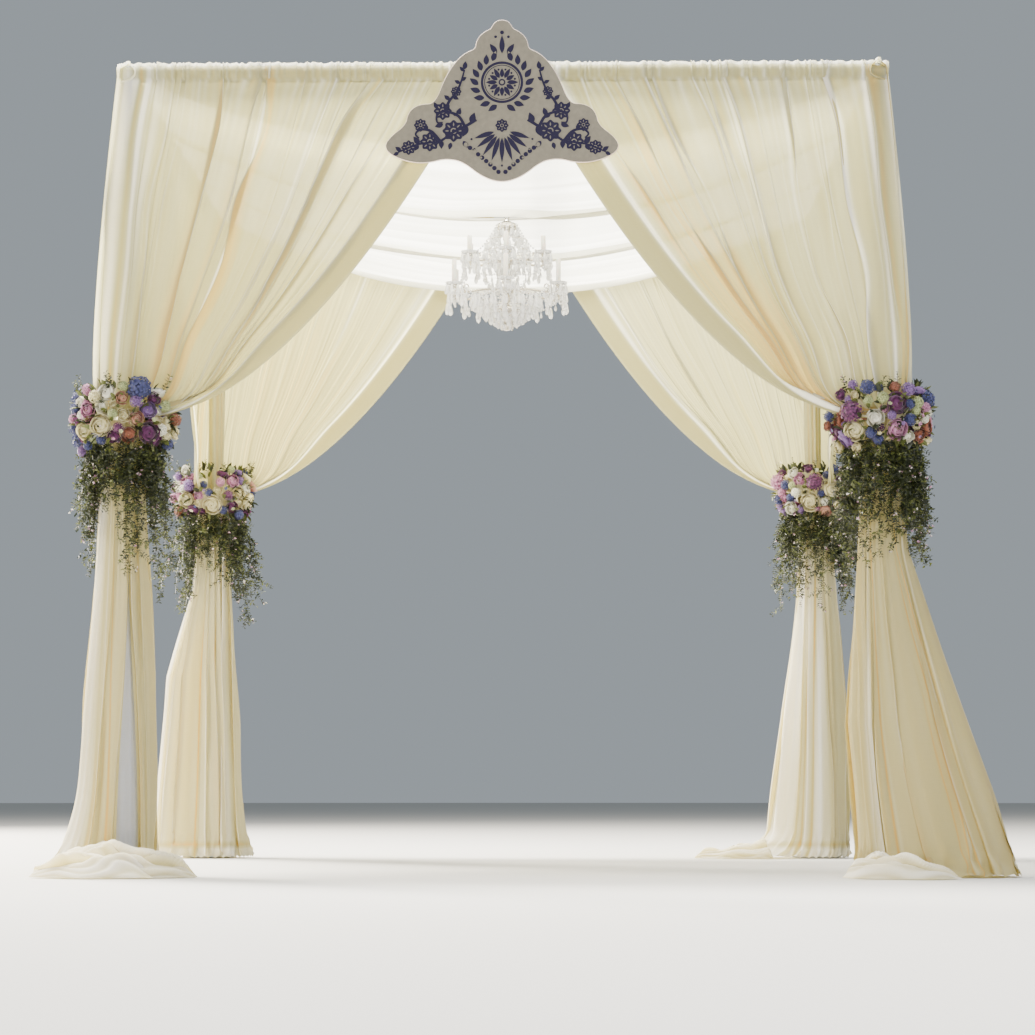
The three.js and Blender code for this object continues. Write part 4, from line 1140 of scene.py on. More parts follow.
def signOutline():
    start, right = (0.0, 0.0), []
    for cx, cz, x, z in signBoard["side"]:
        for step in range(signBoard["steps"]):
            t = step / signBoard["steps"]
            right.append(((1 - t) ** 2 * start[0] + 2 * t * (1 - t) * cx + t * t * x,
                          (1 - t) ** 2 * start[1] + 2 * t * (1 - t) * cz + t * t * z))
        start = (x, z)
    right.append(start)
    left = [(-x, z) for x, z in reversed(right[1:-1])]
    return np.array(right + left) / 1000


def flatCurve(name, outlines, extrude, bevel=0.0):
    # Filled outline in the plane of the board, raised by extrude, as a mesh piece
    curve = bpy.data.curves.new(name, "CURVE")
    curve.dimensions = "2D"
    curve.fill_mode = "BOTH"
    curve.extrude = extrude
    curve.bevel_depth = bevel
    curve.bevel_resolution = 2
    for outline in outlines:
        spline = curve.splines.new("POLY")
        spline.points.add(len(outline) - 1)
        for point, (x, z) in zip(spline.points, outline):
            point.co = (x, -z, 0, 1)
        spline.use_cyclic_u = True
    piece = newPiece(curve)
    deselectAll()
    piece.select_set(True)
    bpy.context.view_layer.objects.active = piece
    bpy.ops.object.convert(target="MESH")
    return bpy.context.object


def standUp(piece, faceY):
    # The flat piece's +Z becomes -Y, with its middle at faceY and its top at the board's top
    turn = Matrix(((1, 0, 0), (0, 0, -1), (0, 1, 0))).to_4x4()
    piece.data.transform(Matrix.Translation((signMiddleX, faceY, signHigh.z)) @ turn)


def strokeOutline(points, widths):
    points = np.array(points, float)
    direction = np.gradient(points, axis=0)
    direction /= np.linalg.norm(direction, axis=1)[:, None] + 1e-12
    side = np.stack([-direction[:, 1], direction[:, 0]], axis=-1)
    widths = np.broadcast_to(widths, len(points))[:, None] / 2
    return np.concatenate([points + side * widths, (points - side * widths)[::-1]])


def leafOutline(base, angle, length, width):
    t = np.linspace(0, 1, 9)
    along = np.array([math.cos(angle), math.sin(angle)])
    beside = np.array([-along[1], along[0]])
    bow = width / 2 * np.sin(np.pi * t ** 0.8)
    spine = np.array(base) + t[:, None] * length * along
    return np.concatenate([spine + bow[:, None] * beside, (spine - bow[:, None] * beside)[::-1][1:-1]])


def roundOutline(middle, radius, points=14, lobes=0, depth=0.0):
    angle = np.linspace(0, 2 * np.pi, points, endpoint=False)
    reach = radius * (1 - depth + depth * np.cos(lobes * angle))
    return np.stack([middle[0] + reach * np.cos(angle), middle[1] + reach * np.sin(angle)], axis=-1)


def daisyOutline(middle, radius, petals=8):
    # Scalloped disc with its heart and a drop in each petal left open
    outlines = [roundOutline(middle, radius, 10 * petals, petals, 0.09),
                roundOutline(middle, radius * 0.28, 20), roundOutline(middle, radius * 0.17)]
    for petal in range(petals):
        angle = 2 * math.pi * petal / petals
        base = middle + around(0.42 * radius, angle)
        outlines.append(leafOutline(base, angle, 0.38 * radius, 0.13 * radius))
    return outlines


def softLine(knots, points=40):
    # Smooth line through a few places, a cubic from each to the next
    knots = np.array(knots)
    knots = np.concatenate([[2 * knots[0] - knots[1]], knots, [2 * knots[-1] - knots[-2]]])
    line = []
    for t in np.linspace(0, len(knots) - 3 - 1e-6, points):
        n, s = int(t), t - int(t)
        a, b, c, d = knots[n:n + 4]
        place = 2 * b + (c - a) * s + (2 * a - 5 * b + 4 * c - d) * s * s
        line.append(0.5 * (place + (3 * b - a - 3 * c + d) * s ** 3))
    return np.array(line)


# Folk-art figures of the board, in metres from its top middle: daisies, leaf sprays, a rosette and beads
ornament = {
    "medallion": (0.0, 0.258), "ring": 0.086,
    "daisies": [(0.196, 0.458, 0.045), (0.292, 0.502, 0.040), (0.378, 0.526, 0.030), (0.240, 0.376, 0.037),
                (0.330, 0.434, 0.027), (0.186, 0.296, 0.022)],
    "stems": [
        [(0.104, 0.412), (0.150, 0.440), (0.196, 0.462), (0.250, 0.500), (0.296, 0.506), (0.350, 0.516),
         (0.420, 0.545)],
        [(0.150, 0.440), (0.178, 0.396), (0.232, 0.378), (0.262, 0.392), (0.262, 0.422), (0.240, 0.424)],
        [(0.250, 0.500), (0.286, 0.460), (0.328, 0.452), (0.350, 0.470), (0.336, 0.488)],
        [(0.232, 0.378), (0.214, 0.336), (0.186, 0.300), (0.166, 0.256), (0.152, 0.206)]],
    "leaves": [
        (0.126, 0.426, -1.9, 0.046), (0.142, 0.436, 1.2, 0.050), (0.158, 0.500, 2.2, 0.034),
        (0.238, 0.430, 0.3, 0.036), (0.246, 0.496, 1.6, 0.036), (0.256, 0.500, -0.9, 0.036),
        (0.334, 0.512, -0.9, 0.040), (0.338, 0.514, 1.0, 0.030), (0.408, 0.540, -0.6, 0.030),
        (0.180, 0.396, -1.9, 0.036), (0.196, 0.386, 2.4, 0.030), (0.262, 0.366, -1.1, 0.030),
        (0.206, 0.506, 1.3, 0.030), (0.306, 0.456, -1.5, 0.028), (0.418, 0.546, 0.5, 0.026),
        (0.212, 0.330, -0.7, 0.030), (0.200, 0.316, 2.7, 0.028), (0.170, 0.262, -0.5, 0.026),
        (0.166, 0.250, -2.6, 0.026), (0.154, 0.212, -0.8, 0.026), (0.152, 0.204, -1.7, 0.034)],
}


def signOrnament():
    # Lists of outlines, one list for each height, as overlapping outlines would cut holes in each other
    middle, ring = ornament["medallion"], ornament["ring"]
    rings = [roundOutline(middle, ring - inset, 96) for inset in (0, 0.010, 0.014, 0.017)]
    figures, lines, blooms = [], [], []
    for petal in range(12):
        angle = math.pi / 6 * petal
        length = 0.038 if petal % 2 else 0.046
        figures.append(leafOutline(middle + around(0.020, angle), angle, length, 0.018))
        figures.append(roundOutline(middle + around(0.054, angle + math.pi / 12), 0.0044))
    figures += [roundOutline(middle, 0.014, 20), roundOutline(middle, 0.008, 16)]
    for leaf in range(9):
        for side in (1, -1):
            angle = math.pi / 2 - side * math.radians(12 + 18 * leaf)
            figures.append(leafOutline(middle + around(0.096, angle), angle - side * 0.75, 0.044, 0.023))
    for angle, length in ((-90, 0.075), (-125, 0.050), (-55, 0.050)):
        turn = math.radians(angle)
        figures.append(leafOutline((0, 0.148) + around(1, turn) * (0.036, 0.010), turn, length, 0.022))
    for x, z, radius in ((0, 0.052, 0.0080), (-0.026, 0.070, 0.0055), (0.026, 0.070, 0.0055)):
        figures.append(roundOutline((x, z), radius, 16))
    for ray in range(9):
        angle = math.radians(18 + 18 * ray)
        base = (0, 0.452) + around(0.034, angle)
        length = 0.075 + 0.028 * math.sin(angle)
        figures.append(leafOutline(base, angle, length, 0.020))
        figures.append(roundOutline(base + around(length + 0.012, angle), 0.0045))
    blooms += daisyOutline((0.0, 0.436), 0.027)
    for side in (1, -1):
        for knots in ornament["stems"]:
            line = softLine([(side * x, z) for x, z in knots])
            lines.append([strokeOutline(line, np.linspace(0.0125, 0.0060, len(line)))])
        for x, z, radius in ornament["daisies"]:
            blooms += daisyOutline((side * x, z), radius)
        for x, z, angle, length in ornament["leaves"]:
            turn = angle if side > 0 else math.pi - angle
            figures.append(leafOutline((side * x, z), turn, length, length * 0.58))
        for bead in range(9):
            share = (bead + 0.5) / 9
            place = (side * (0.006 + 0.148 * share), 0.636 - 0.128 * share ** 0.92)
            figures.append(roundOutline(place, 0.0092, 16))
    return [rings + figures, blooms] + lines


def signPiece():
    s = signBoard
    board = flatCurve("sign_board", [signOutline()], s["halfThick"] - s["bevel"], s["bevel"])
    # The bevel widens the outline, so the board is drawn in to its size
    board.data.transform(Matrix.Scale(0.9955, 4, (1, 0, 0)) @ Matrix.Translation((0, -0.0015, 0)))
    standUp(board, (signLow.y + signHigh.y) / 2)
    board.data.materials.append(newFinish("matt taupe board paint"))
    board.data.materials.append(newFinish("pale washed plywood edge"))
    for polygon in board.data.polygons:
        polygon.material_index = 0 if abs(polygon.normal.y) > 0.99 else 1
    settle(board, "sign_board", "sign_panel")
    layers = []
    for number, outlines in enumerate(signOrnament()):
        relief = s["relief"] + s["layerStep"] * number
        layer = flatCurve("ornament layer", outlines, relief / 2)
        standUp(layer, signLow.y - relief / 2 + 0.0002)
        layers.append((*takeShape(), 0))
    piece = gatheredMesh("sign_ornament", layers, [newFinish("navy screen ink")], smooth=False)
    settle(piece, "sign_board")
    print("sign painted:", len(piece.data.polygons), "faces in its ornament")


signPiece()


# Silk flowers: polyester silk petals, heat pressed and dyed, matt with a soft sheen at the rims
# Each dye as (light, deep): the deep tone is painted shade, towards the base of each petal, on the inner
# petals and on a mophead's core
petalDyes = {
    "cream": ("dcd6ac", "a2935a"), "white": ("e8e6da", "b0ad90"), "pink": ("c48fab", "7a335e"),
    "plum": ("6c3160", "2e0f2a"), "blue": ("3c4276", "171a38"), "peach": ("c49b82", "8c4b38"),
    "green": ("b3b985", "65743e"), "lilac": ("84639a", "402a56"), "rust": ("94583f", "49241b"),
}
dyeNames = list(petalDyes)


def petalSilk(name):
    light, deep = petalDyes[name]
    material, tree = newMaterial(name + " polyester silk petals")
    place = addNode(tree, "ShaderNodeTexCoord")
    veins = addNode(tree, "ShaderNodeTexNoise", {
        "Vector": place.outputs["Object"], "Scale": 130.0, "Detail": 3.0})
    # The depth attribute paints the deep tone as shade, broken up by the veins' noise
    heart = addNode(tree, "ShaderNodeAttribute", attribute_name="depth")
    mixed = addNode(tree, "ShaderNodeMath", {
        0: veins.outputs["Fac"], 1: heart.outputs["Fac"]}, operation="MULTIPLY")
    spread = addNode(tree, "ShaderNodeMapRange", {"Value": mixed.outputs["Value"], "From Max": 0.55})
    tone = addNode(tree, "ShaderNodeMix", {
        0: spread.outputs["Result"], 6: linearColour(light), 7: linearColour(deep)}, data_type="RGBA")
    silk = addNode(tree, "ShaderNodeBsdfPrincipled", {
        "Base Color": tone.outputs[2], "Roughness": 0.62, "Sheen Weight": 0.25, "Sheen Roughness": 0.4})
    glow = addNode(tree, "ShaderNodeBsdfTranslucent", {"Color": tone.outputs[2]})
    petal = addNode(tree, "ShaderNodeMixShader", {0: 0.22, 1: silk.outputs[0], 2: glow.outputs[0]})
    showSurface(tree, petal.outputs[0])
    return material


petalMaterials = [petalSilk(name) for name in dyeNames]


def gridShape(across, up):
    deselectAll()
    bpy.ops.mesh.primitive_grid_add(x_subdivisions=across, y_subdivisions=up, size=2)
    return takeShape()


finePetal, simplePetal = gridShape(5, 6), gridShape(3, 4)
dome = cutBead()
goldenAngle = 2.399


# A rose of radius 1 that faces +Z: petals are parts of ever wider shells round a tight bud, each with its
# rim lower than the last one's and rolled outwards
def roseShape(rng, petals):
    grid, faces = finePetal if petals > 14 else simplePetal
    across, up = grid[:, 0], (grid[:, 1] + 1) / 2
    parts = []
    for number in range(petals):
        share = number / (petals - 1)
        turn = number * goldenAngle + rng.uniform(-0.2, 0.2)
        shell = 0.26 + 0.66 * share ** 0.85
        rim = math.radians(6 + 64 * share + rng.uniform(-4, 4))
        base = math.radians(118 + 14 * share)
        polar = base + (rim - base) * up + 0.30 * across ** 2 * up * (0.5 + share)
        spread = math.radians(88 - 34 * share) * (0.55 + 0.45 * np.sin(np.pi * (0.15 + 0.60 * up)))
        angle = turn + across * spread
        roll = (0.05 + 0.12 * share) * up ** 5 * (1 - 0.4 * across ** 2)
        reach = shell * (1 + roll + 0.05 * across) + rng.uniform(0, 0.02)
        height = reach * np.cos(polar) * 0.80 - 0.10 - roll * 0.35
        wide = reach * np.sin(polar)
        # Painted shade: the deep tone towards the petal's base and on the inner petals
        depth = np.clip(1.9 * (1 - up) + 0.25 * (1 - share), 0, 1)
        parts.append((np.stack([wide * np.cos(angle), wide * np.sin(angle), height], axis=-1), faces, depth))
    return parts


# One petal of a small flower, pointing at an angle: heart, two sides and a lifted tip
def flatPetal(angle, sideAt, halfWidth, lift, depths):
    along = around(1, angle)
    beside = np.array([-along[1], along[0]])
    flat = [(0, 0), along * sideAt + beside * halfWidth, along, along * sideAt - beside * halfWidth]
    return np.column_stack([flat, lift]), [(0, 3, 2, 1)], np.array(depths)


# A mophead of radius 1 that faces +Z: four flat petals to a floret, florets all over a dome
def mopheadShape(rng, florets=38, petals=4):
    heart, heartFaces = dome
    # The core is painted wholly in the deep tone, as shade
    parts = [(heart * 0.70, heartFaces, np.full(len(heart), 1.0))]
    for number in range(florets):
        polar = math.acos(1 - 1.45 * (number + 0.5) / florets)
        axis = ringPlace(math.sin(polar), number * goldenAngle, math.cos(polar))
        size = rng.uniform(0.26, 0.34)
        for petal in range(petals):
            angle = 2 * math.pi * petal / petals + number
            points, faces, depths = flatPetal(
                angle, 0.6, 0.46, (0.0, 0.14, 0.20, 0.14), (0.9, 0.35, 0.05, 0.35))
            parts.append((turned(points * size, axis) + axis * rng.uniform(0.70, 0.88), faces, depths))
    return parts


def tinyBlossom(rng, size, petals=5):
    parts = []
    for petal in range(petals):
        angle = 2 * math.pi * (petal + rng.uniform(-0.1, 0.1)) / petals
        points, faces, depths = flatPetal(angle, 0.65, 0.42, (0.0, 0.22, 0.30, 0.22), (0.8, 0.2, 0.0, 0.2))
        parts.append((points * size, faces, depths))
    return parts


def leafSides(along, roll):
    side = np.cross(along, (0, 0, 1)) + 1e-6
    side /= np.linalg.norm(side)
    top = np.cross(side, along)
    return side * math.cos(roll) + top * math.sin(roll), top * math.cos(roll) - side * math.sin(roll)


# Leaves as (along, beside, above the stalk's end) in shares of the length: one folded along its rib, and a
# plain one for the sprays
bigLeaf = {
    "outline": [(0, 0, 0), (0.30, 0.42, 0.10), (0.70, 0.36, 0.10), (1.0, 0, -0.04), (0.70, -0.36, 0.10),
                (0.30, -0.42, 0.10), (0.5, 0, 0)],
    "faces": [(0, 6, 2, 1), (6, 3, 2), (0, 5, 4, 6), (6, 4, 3)], "width": 0.50, "roll": 0.8}
sprayLeaf = {
    "outline": [(0, 0, 0), (0.45, 1, 0.10), (1, 0, 0), (0.45, -1, 0.10)], "faces": [(0, 2, 1), (0, 3, 2)],
    "width": 0.27, "roll": 1.2}


def leafShape(kind, spot, along, length, rng, material):
    along = np.array(along, float)
    along /= np.linalg.norm(along) + 1e-9
    flat = np.array(kind["outline"], float)
    side, top = leafSides(along, rng.uniform(-kind["roll"], kind["roll"]))
    points = spot + length * (flat[:, :1] * along + kind["width"] * flat[:, 1:2] * side + flat[:, 2:] * top)
    return points, kind["faces"], material


# Each bouquet is a collar of blossoms round the neck, with leaves and tiny filler flowers between them.
# Sizes are (kind, least radius, most, how many). Dyes are taken in the order listed, blossom by blossom.
bouquet = {
    "ring": 0.152, "ringSwell": 0.040, "tall": 0.108, "tries": 1400, "leaves": 300, "fillers": 26,
    "sizes": [("rose", 0.042, 0.050, 8), ("mophead", 0.044, 0.052, 5), ("rose", 0.032, 0.040, 20),
              ("mophead", 0.022, 0.030, 34), ("rose", 0.018, 0.026, 40)],
    "dyes": {
        "rose": ["cream", "cream", "plum", "pink", "cream", "white", "plum", "peach", "cream", "lilac",
                 "pink", "cream", "rust", "white", "plum"],
        "mophead": ["blue", "plum", "cream", "blue", "white", "lilac", "green", "blue", "pink"]},
    "fillerDyes": ["green", "lilac", "pink", "cream", "blue"],
    "fullRose": 0.036, "fullPetals": 19, "petals": 12, "leafLength": (0.038, 0.058),
    "filler": (0.007, 0.012),
    # Least room to the next blossom and to the cloth, in radii, and to the cloth for the rest, in metres
    "spacing": 0.78, "clothClear": 0.72, "chosenClear": 0.55, "leafClear": 0.022, "fillerClear": 0.02,
}
# The blossoms one sees from the front: kind, dye, then place right and up from the ring's middle, and
# radius, in mm
chosenBlossoms = {
    "front_left": [
        ("rose", "cream", -70, -46, 47), ("rose", "cream", -145, -60, 38), ("rose", "pink", -130, 20, 34),
        ("rose", "white", -68, 32, 28), ("rose", "white", -50, 88, 40), ("mophead", "cream", -95, 72, 30),
        ("mophead", "pink", -132, 106, 26), ("mophead", "pink", -200, 0, 26),
        ("rose", "white", -165, 60, 28), ("mophead", "blue", 80, 106, 56), ("rose", "peach", 16, 66, 30),
        ("mophead", "lilac", 72, 52, 30), ("rose", "plum", 134, 70, 32), ("rose", "lilac", 114, 20, 38),
        ("rose", "peach", 74, -18, 34), ("rose", "cream", 22, -4, 32), ("rose", "plum", 118, -72, 47),
        ("mophead", "blue", 178, -104, 28), ("rose", "cream", 150, -14, 24),
        ("mophead", "rust", 205, -4, 30), ("rose", "cream", 208, -58, 30),
        ("mophead", "green", 172, 44, 28), ("mophead", "lilac", -158, -136, 26),
        ("mophead", "blue", -128, -118, 22), ("mophead", "green", 18, 112, 24),
        ("mophead", "green", -20, 0, 24)],
    "front_right": [
        ("mophead", "plum", -132, 10, 50), ("rose", "cream", -120, -66, 48),
        ("rose", "cream", -176, -120, 32), ("rose", "cream", -112, -134, 24),
        ("rose", "white", -44, -22, 39), ("rose", "plum", 45, 36, 47), ("rose", "pink", 45, -66, 46),
        ("mophead", "blue", 98, -26, 28), ("rose", "rust", 141, -86, 34), ("mophead", "lilac", 92, 96, 32),
        ("mophead", "rust", 36, 104, 24), ("mophead", "green", -12, 58, 28),
        ("rose", "cream", -120, 74, 22), ("mophead", "blue", -70, 104, 34),
        ("mophead", "lilac", -124, 118, 24), ("rose", "plum", -172, 84, 28),
        ("mophead", "blue", -208, 4, 26), ("rose", "rust", -222, -34, 24), ("rose", "plum", -196, 46, 24),
        ("mophead", "blue", -58, -80, 26), ("mophead", "green", 130, 46, 28),
        ("mophead", "white", 158, -14, 24), ("mophead", "green", -70, 48, 24)],
    "back_left": [
        ("rose", "cream", -120, -43, 44), ("rose", "cream", 14, -72, 50), ("rose", "white", -168, 28, 30),
        ("rose", "white", -128, 112, 28), ("mophead", "lilac", -165, 84, 26),
        ("mophead", "pink", -196, -20, 28), ("mophead", "lilac", -104, 30, 34),
        ("rose", "pink", -52, -22, 28), ("mophead", "rust", -160, -96, 30), ("rose", "plum", 65, 118, 30),
        ("rose", "pink", 113, 55, 38), ("mophead", "pink", 56, 46, 26), ("rose", "cream", 42, 0, 26),
        ("rose", "cream", 148, -4, 34), ("mophead", "plum", 94, -20, 28), ("rose", "plum", 112, -78, 34),
        ("mophead", "blue", 142, -112, 28), ("mophead", "green", 105, 112, 22)],
    "back_right": [
        ("rose", "cream", -47, -60, 50), ("rose", "cream", 65, 4, 48), ("rose", "pink", -96, 56, 36),
        ("rose", "plum", -52, 112, 30), ("rose", "white", -124, 96, 32), ("mophead", "blue", -160, 34, 28),
        ("rose", "white", -136, -86, 36), ("mophead", "white", -112, -10, 28),
        ("rose", "pink", -168, -32, 22), ("mophead", "blue", 72, 104, 30), ("rose", "plum", 104, 66, 32),
        ("mophead", "rust", 130, -52, 28), ("mophead", "green", 150, 14, 26),
        ("mophead", "cream", 96, -72, 28), ("mophead", "rust", 6, 78, 26)],
}
# Where the point of a side curtain shows between the blossoms of the back posts: place right and up from
# the ring's middle, and half width gained per height
curtainPoint = {"back_left": (0.0, 0.020, 0.50), "back_right": (0.022, 0.085, 0.45)}


def coversPoint(name, side, rise, radius):
    if name not in curtainPoint:
        return False
    right, up, slope = curtainPoint[name]
    return rise > up - 0.5 * radius and abs(side - right) < slope * max(rise - up, 0) + 0.7 * radius


def clothTree(axis, reach, lowest):
    near = [point for points in clothPoints for point in points
            if point[2] > lowest and math.hypot(point[0] - axis.x, point[1] - axis.y) < reach]
    tree = KDTree(len(near))
    for number, point in enumerate(near):
        tree.insert(point, number)
    tree.balance()
    return tree


def collarPlace(axis, middle, turn, lean, deeper=0.0):
    reach = bouquet["ring"] + bouquet["ringSwell"] * math.cos(lean) - deeper
    return ringPlace(reach, turn, middle + bouquet["tall"] * math.sin(lean)) + (axis.x, axis.y, 0)


def leanedOut(turn, lean, up):
    return np.array([math.cos(turn) * math.cos(lean), math.sin(turn) * math.cos(lean), up])


def jitter(rng, most):
    return [rng.uniform(-most, most) for _ in range(3)]


def bouquetPiece(name, seed):
    b = bouquet
    rng = random.Random(seed)
    axis = postPlace[name]
    low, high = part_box("flower_tieback_" + name)
    middle = (low.z + high.z) / 2
    tree = clothTree(axis, reach=0.5, lowest=1.6)
    placed, parts, depths = [], [], []
    dyeCount = {"rose": seed, "mophead": seed}

    def addBlossom(kind, dye, spot, radius, facing):
        petals = b["fullPetals"] if radius > b["fullRose"] else b["petals"]
        shape = roseShape(rng, petals) if kind == "rose" else mopheadShape(rng)
        spin = rng.uniform(0, 6.3)
        for points, faces, depth in shape:
            parts.append((turned(points * radius, facing, spin) + spot, faces, dyeNames.index(dye)))
            depths.append(depth)
        placed.append((spot, radius))

    for kind, dye, right, up, size in chosenBlossoms[name]:
        side, rise, radius = right / 1000, up / 1000, size / 1000
        if coversPoint(name, side, rise, radius):
            continue
        reach = b["ring"] + b["ringSwell"] * math.sqrt(max(1 - (rise / 0.15) ** 2, 0.0))
        ahead = math.sqrt(max(reach ** 2 - side ** 2, 0.0004))
        spot = np.array([axis.x + side, axis.y - ahead, middle + rise])
        away = tree.find(spot)[2]
        if away < radius * b["chosenClear"]:
            spot[1] -= radius * b["chosenClear"] - away + 0.01
        facing = np.array([side * 0.8, -ahead - 0.03, rise * 0.5])
        addBlossom(kind, dye, spot, radius, facing / np.linalg.norm(facing) + jitter(rng, 0.2))
    for kind, least, most, wanted in b["sizes"]:
        dyes = b["dyes"][kind]
        made = 0
        for _ in range(b["tries"]):
            if made >= wanted:
                break
            turn = rng.uniform(0, 2 * math.pi)
            lean = math.asin(rng.uniform(-0.96, 0.98))
            radius = rng.uniform(least, most)
            spot = collarPlace(axis, middle, turn, lean, rng.uniform(-0.006, 0.012))
            if any(np.linalg.norm(spot - other) < b["spacing"] * (radius + size) for other, size in placed):
                continue
            if tree.find(spot)[2] < radius * b["clothClear"]:
                continue
            if spot[1] < axis.y and coversPoint(name, spot[0] - axis.x, spot[2] - middle, radius):
                continue
            facing = leanedOut(turn, lean, math.sin(lean) * 0.8 + 0.12) + jitter(rng, 0.28)
            addBlossom(kind, dyes[dyeCount[kind] % len(dyes)], spot, radius, facing)
            dyeCount[kind] += 1
            made += 1
    for number in range(b["leaves"]):
        turn, lean = rng.uniform(0, 2 * math.pi), rng.uniform(-1.3, 1.45)
        spot = collarPlace(axis, middle, turn, lean, rng.uniform(0.0, 0.030))
        if tree.find(spot)[2] < b["leafClear"]:
            continue
        along = leanedOut(turn, lean, math.sin(lean) + 0.2) + jitter(rng, 0.7)
        material = len(dyeNames) + number % 2
        parts.append(leafShape(bigLeaf, spot, along, rng.uniform(*b["leafLength"]), rng, material))
        depths.append(np.zeros(len(parts[-1][0])))
    for number in range(b["fillers"]):
        turn, lean = rng.uniform(0, 2 * math.pi), rng.uniform(-1.2, 1.4)
        spot = collarPlace(axis, middle, turn, lean, rng.uniform(-0.035, -0.015))
        if tree.find(spot)[2] < b["fillerClear"]:
            continue
        dye = b["fillerDyes"][number % len(b["fillerDyes"])]
        for points, faces, depth in tinyBlossom(rng, rng.uniform(*b["filler"])):
            points = turned(points, leanedOut(turn, lean, math.sin(lean) + 0.2)) + spot
            parts.append((points, faces, dyeNames.index(dye)))
            depths.append(depth)
    piece = gatheredMesh("bouquet_" + name, parts, petalMaterials + [darkLeaf, lightLeaf])
    attribute = piece.data.attributes.new("depth", "FLOAT", "POINT")
    attribute.data.foreach_set("value", np.concatenate(depths).astype(np.float32))
    settle(piece, "silk_petals", "flower_tieback_" + name)
    print(f"{piece.name}: {len(placed)} blossoms, {len(piece.data.polygons)} faces")


# Greenery: fine trailing sprays, dense and dark under the blossoms and thinning out downwards, with a few
# small buds, and short sprigs that stand up between the blossoms
greenery = {
    "vines": 125, "sprigs": 16, "shortest": 0.12, "longest": 0.58, "leafPitch": 0.0105, "stem": 0.0009,
    "leaf": (0.013, 0.025), "darkShare": 0.66, "twigs": 0.34, "twigLength": (0.03, 0.075), "buds": 0.13,
    "bud": (0.004, 0.008), "clear": 0.010, "rootRing": (0.080, 0.150), "fall": (0.20, 0.50),
    "sprigLength": (0.05, 0.085), "vineTurn": 2.4,
}


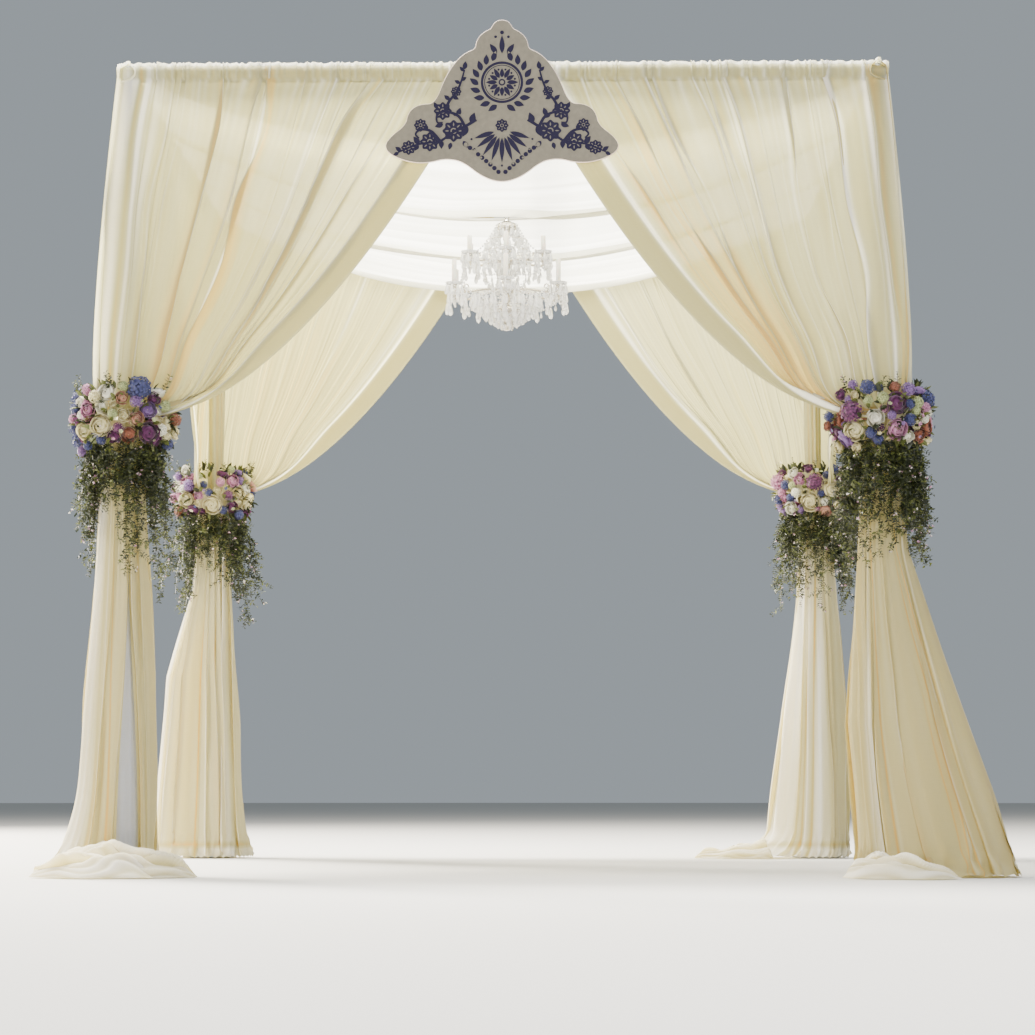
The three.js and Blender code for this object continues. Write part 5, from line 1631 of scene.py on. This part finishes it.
def greeneryPiece(name, seed):
    g = greenery
    rng = random.Random(seed)
    axis = postPlace[name]
    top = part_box("foliage_" + name)[1].z
    inward = inwardAngle(name)
    parts = []

    def keepOut(place):
        away = place[:2] - (axis.x, axis.y)
        reach = np.linalg.norm(away)
        angle = math.atan2(away[1], away[0])
        least = float(legRadius(name, angle, min(place[2], tieHeight))) + g["clear"]
        if reach < least:
            place[:2] = np.array([axis.x, axis.y]) + away / reach * least
        return place

    def spray(start, heading, length, steps, fall, twigs):
        place, heading = np.array(start), np.array(heading) / np.linalg.norm(heading)
        line, twist = [place.copy()], rng.uniform(-0.10, 0.10)
        for _ in range(steps):
            heading = heading + [twist * -heading[1] + rng.uniform(-0.10, 0.10),
                                 twist * heading[0] + rng.uniform(-0.10, 0.10),
                                 -fall + rng.uniform(-0.05, 0.08)]
            heading /= np.linalg.norm(heading)
            place = keepOut(place + heading * length / steps)
            line.append(place.copy())
        line = np.array(line)
        parts.append((*tubeShape(line, g["stem"], 3), 2))
        count = max(int(length / g["leafPitch"]), 3)
        for number in range(1, count + 1):
            share = number / count * steps - 1e-6
            lower = int(share)
            along = line[lower + 1] - line[lower]
            spot = line[lower] + along * (share - lower)
            along = along / (np.linalg.norm(along) + 1e-9)
            side = np.cross(along, jitter(rng, 1))
            side /= np.linalg.norm(side) + 1e-9
            material = 0 if rng.random() < g["darkShare"] else 1
            size = rng.uniform(*g["leaf"]) * (1.1 - 0.35 * number / count)
            parts.append(leafShape(sprayLeaf, spot, along * 0.45 + side, size, rng, material))
            parts.append(leafShape(sprayLeaf, spot, along * 0.45 - side, size * 0.9, rng, material))
            if twigs and rng.random() < g["twigs"]:
                spray(spot, along * 0.5 + side * 0.9, rng.uniform(*g["twigLength"]), 3, 0.12, False)
        if rng.random() < g["buds"]:
            for _ in range(2):
                bud = line[-1] + jitter(rng, 0.012)
                for points, faces, _ in tinyBlossom(rng, rng.uniform(*g["bud"])):
                    points = turned(points, [rng.uniform(-1, 1), rng.uniform(-1, 0), 0.6]) + bud
                    parts.append((points, faces, 3 if rng.random() < 0.5 else 4))

    for number in range(g["vines"]):
        turn = g["vineTurn"] * number + rng.uniform(-0.2, 0.2)
        towards = max(math.cos(turn - inward), 0)
        extra = (g["longest"] - g["shortest"]) * rng.random() ** 2.2
        length = g["shortest"] + extra * (0.75 + 0.25 * towards)
        start = ringPlace(rng.uniform(*g["rootRing"]), turn, top + rng.uniform(-0.02, 0.09))
        start += (axis.x, axis.y, 0)
        swing = turn + rng.uniform(-0.5, 0.5)
        outward = rng.uniform(0.0, 0.55 if "front" in name else 0.95)
        heading = ringPlace(outward, swing, rng.uniform(-1.1, -0.5))
        spray(start, heading, length, 9, rng.uniform(*g["fall"]), True)
    for _ in range(g["sprigs"]):
        turn = rng.uniform(0, 2 * math.pi)
        spot = collarPlace(axis, top + 0.15, turn, 0.95)
        spray(spot, ringPlace(0.5, turn, 1.0), rng.uniform(*g["sprigLength"]), 4, -0.02, False)
    buds = [petalMaterials[dyeNames.index(dye)] for dye in ("white", "pink")]
    piece = gatheredMesh("greenery_" + name, parts, [darkLeaf, lightLeaf, darkLeaf, *buds], smooth=False)
    settle(piece, "silk_leaves", "foliage_" + name)
    print(f"{piece.name}: {len(piece.data.polygons)} faces")


for number, name in enumerate(cornerNames):
    bouquetPiece(name, 500 + number)
    greeneryPiece(name, 540 + number)

# Floor, light and sky
floorSize = 60
lights = [
    ("key above and behind", (-4.5, 2.6, 12.0), (0, 0.2, 2.4), 4.0, 8900, "fffaf0"),
    ("low sun behind", (-9.5, 9.0, 2.8), (-0.4, 1.0, 0.7), 3.0, 8600, "fff6e6"),
    ("low left", (-9.0, -3.6, 1.5), (-1.6, -1.4, 0.3), 2.0, 1100, "fff4e0"),
    ("soft top", (0.0, 0.0, 9.0), (0, 0, 2.5), 6.0, 2000, "ffffff"),
    ("front fill", (3.0, -10.0, 4.0), (0, 0, 1.8), 5.0, 900, "fdfdff"),
]


def addFloor():
    deselectAll()
    bpy.ops.mesh.primitive_circle_add(
        vertices=96, radius=floorSize, fill_type="NGON", location=(0, 0, -0.0005))
    floor = bpy.context.object
    floor.name = "floor"
    floor.data.materials.append(newFinish("pale matt floor"))


def addLight(name, place, target, size, power, colour):
    deselectAll()
    bpy.ops.object.light_add(type="AREA", location=place)
    light = bpy.context.object
    light.name = name
    light.rotation_mode = "QUATERNION"
    light.rotation_quaternion = (Vector(target) - Vector(place)).to_track_quat("-Z", "Y")
    light.data.shape = "DISK"
    light.data.size = size
    light.data.energy = power
    light.data.color = linearColour(colour)[:3]


def addStudio():
    addFloor()
    world = bpy.data.worlds.new("studio")
    bpy.context.scene.world = world
    world.use_nodes = True
    world.node_tree.nodes.clear()
    sky = addNode(world.node_tree, "ShaderNodeBackground", {
        "Color": linearColour("9aa2a8"), "Strength": 1.0})
    addNode(world.node_tree, "ShaderNodeOutputWorld", {"Surface": sky.outputs[0]})
    for light in lights:
        addLight(*light)
    print("studio set")


addStudio()
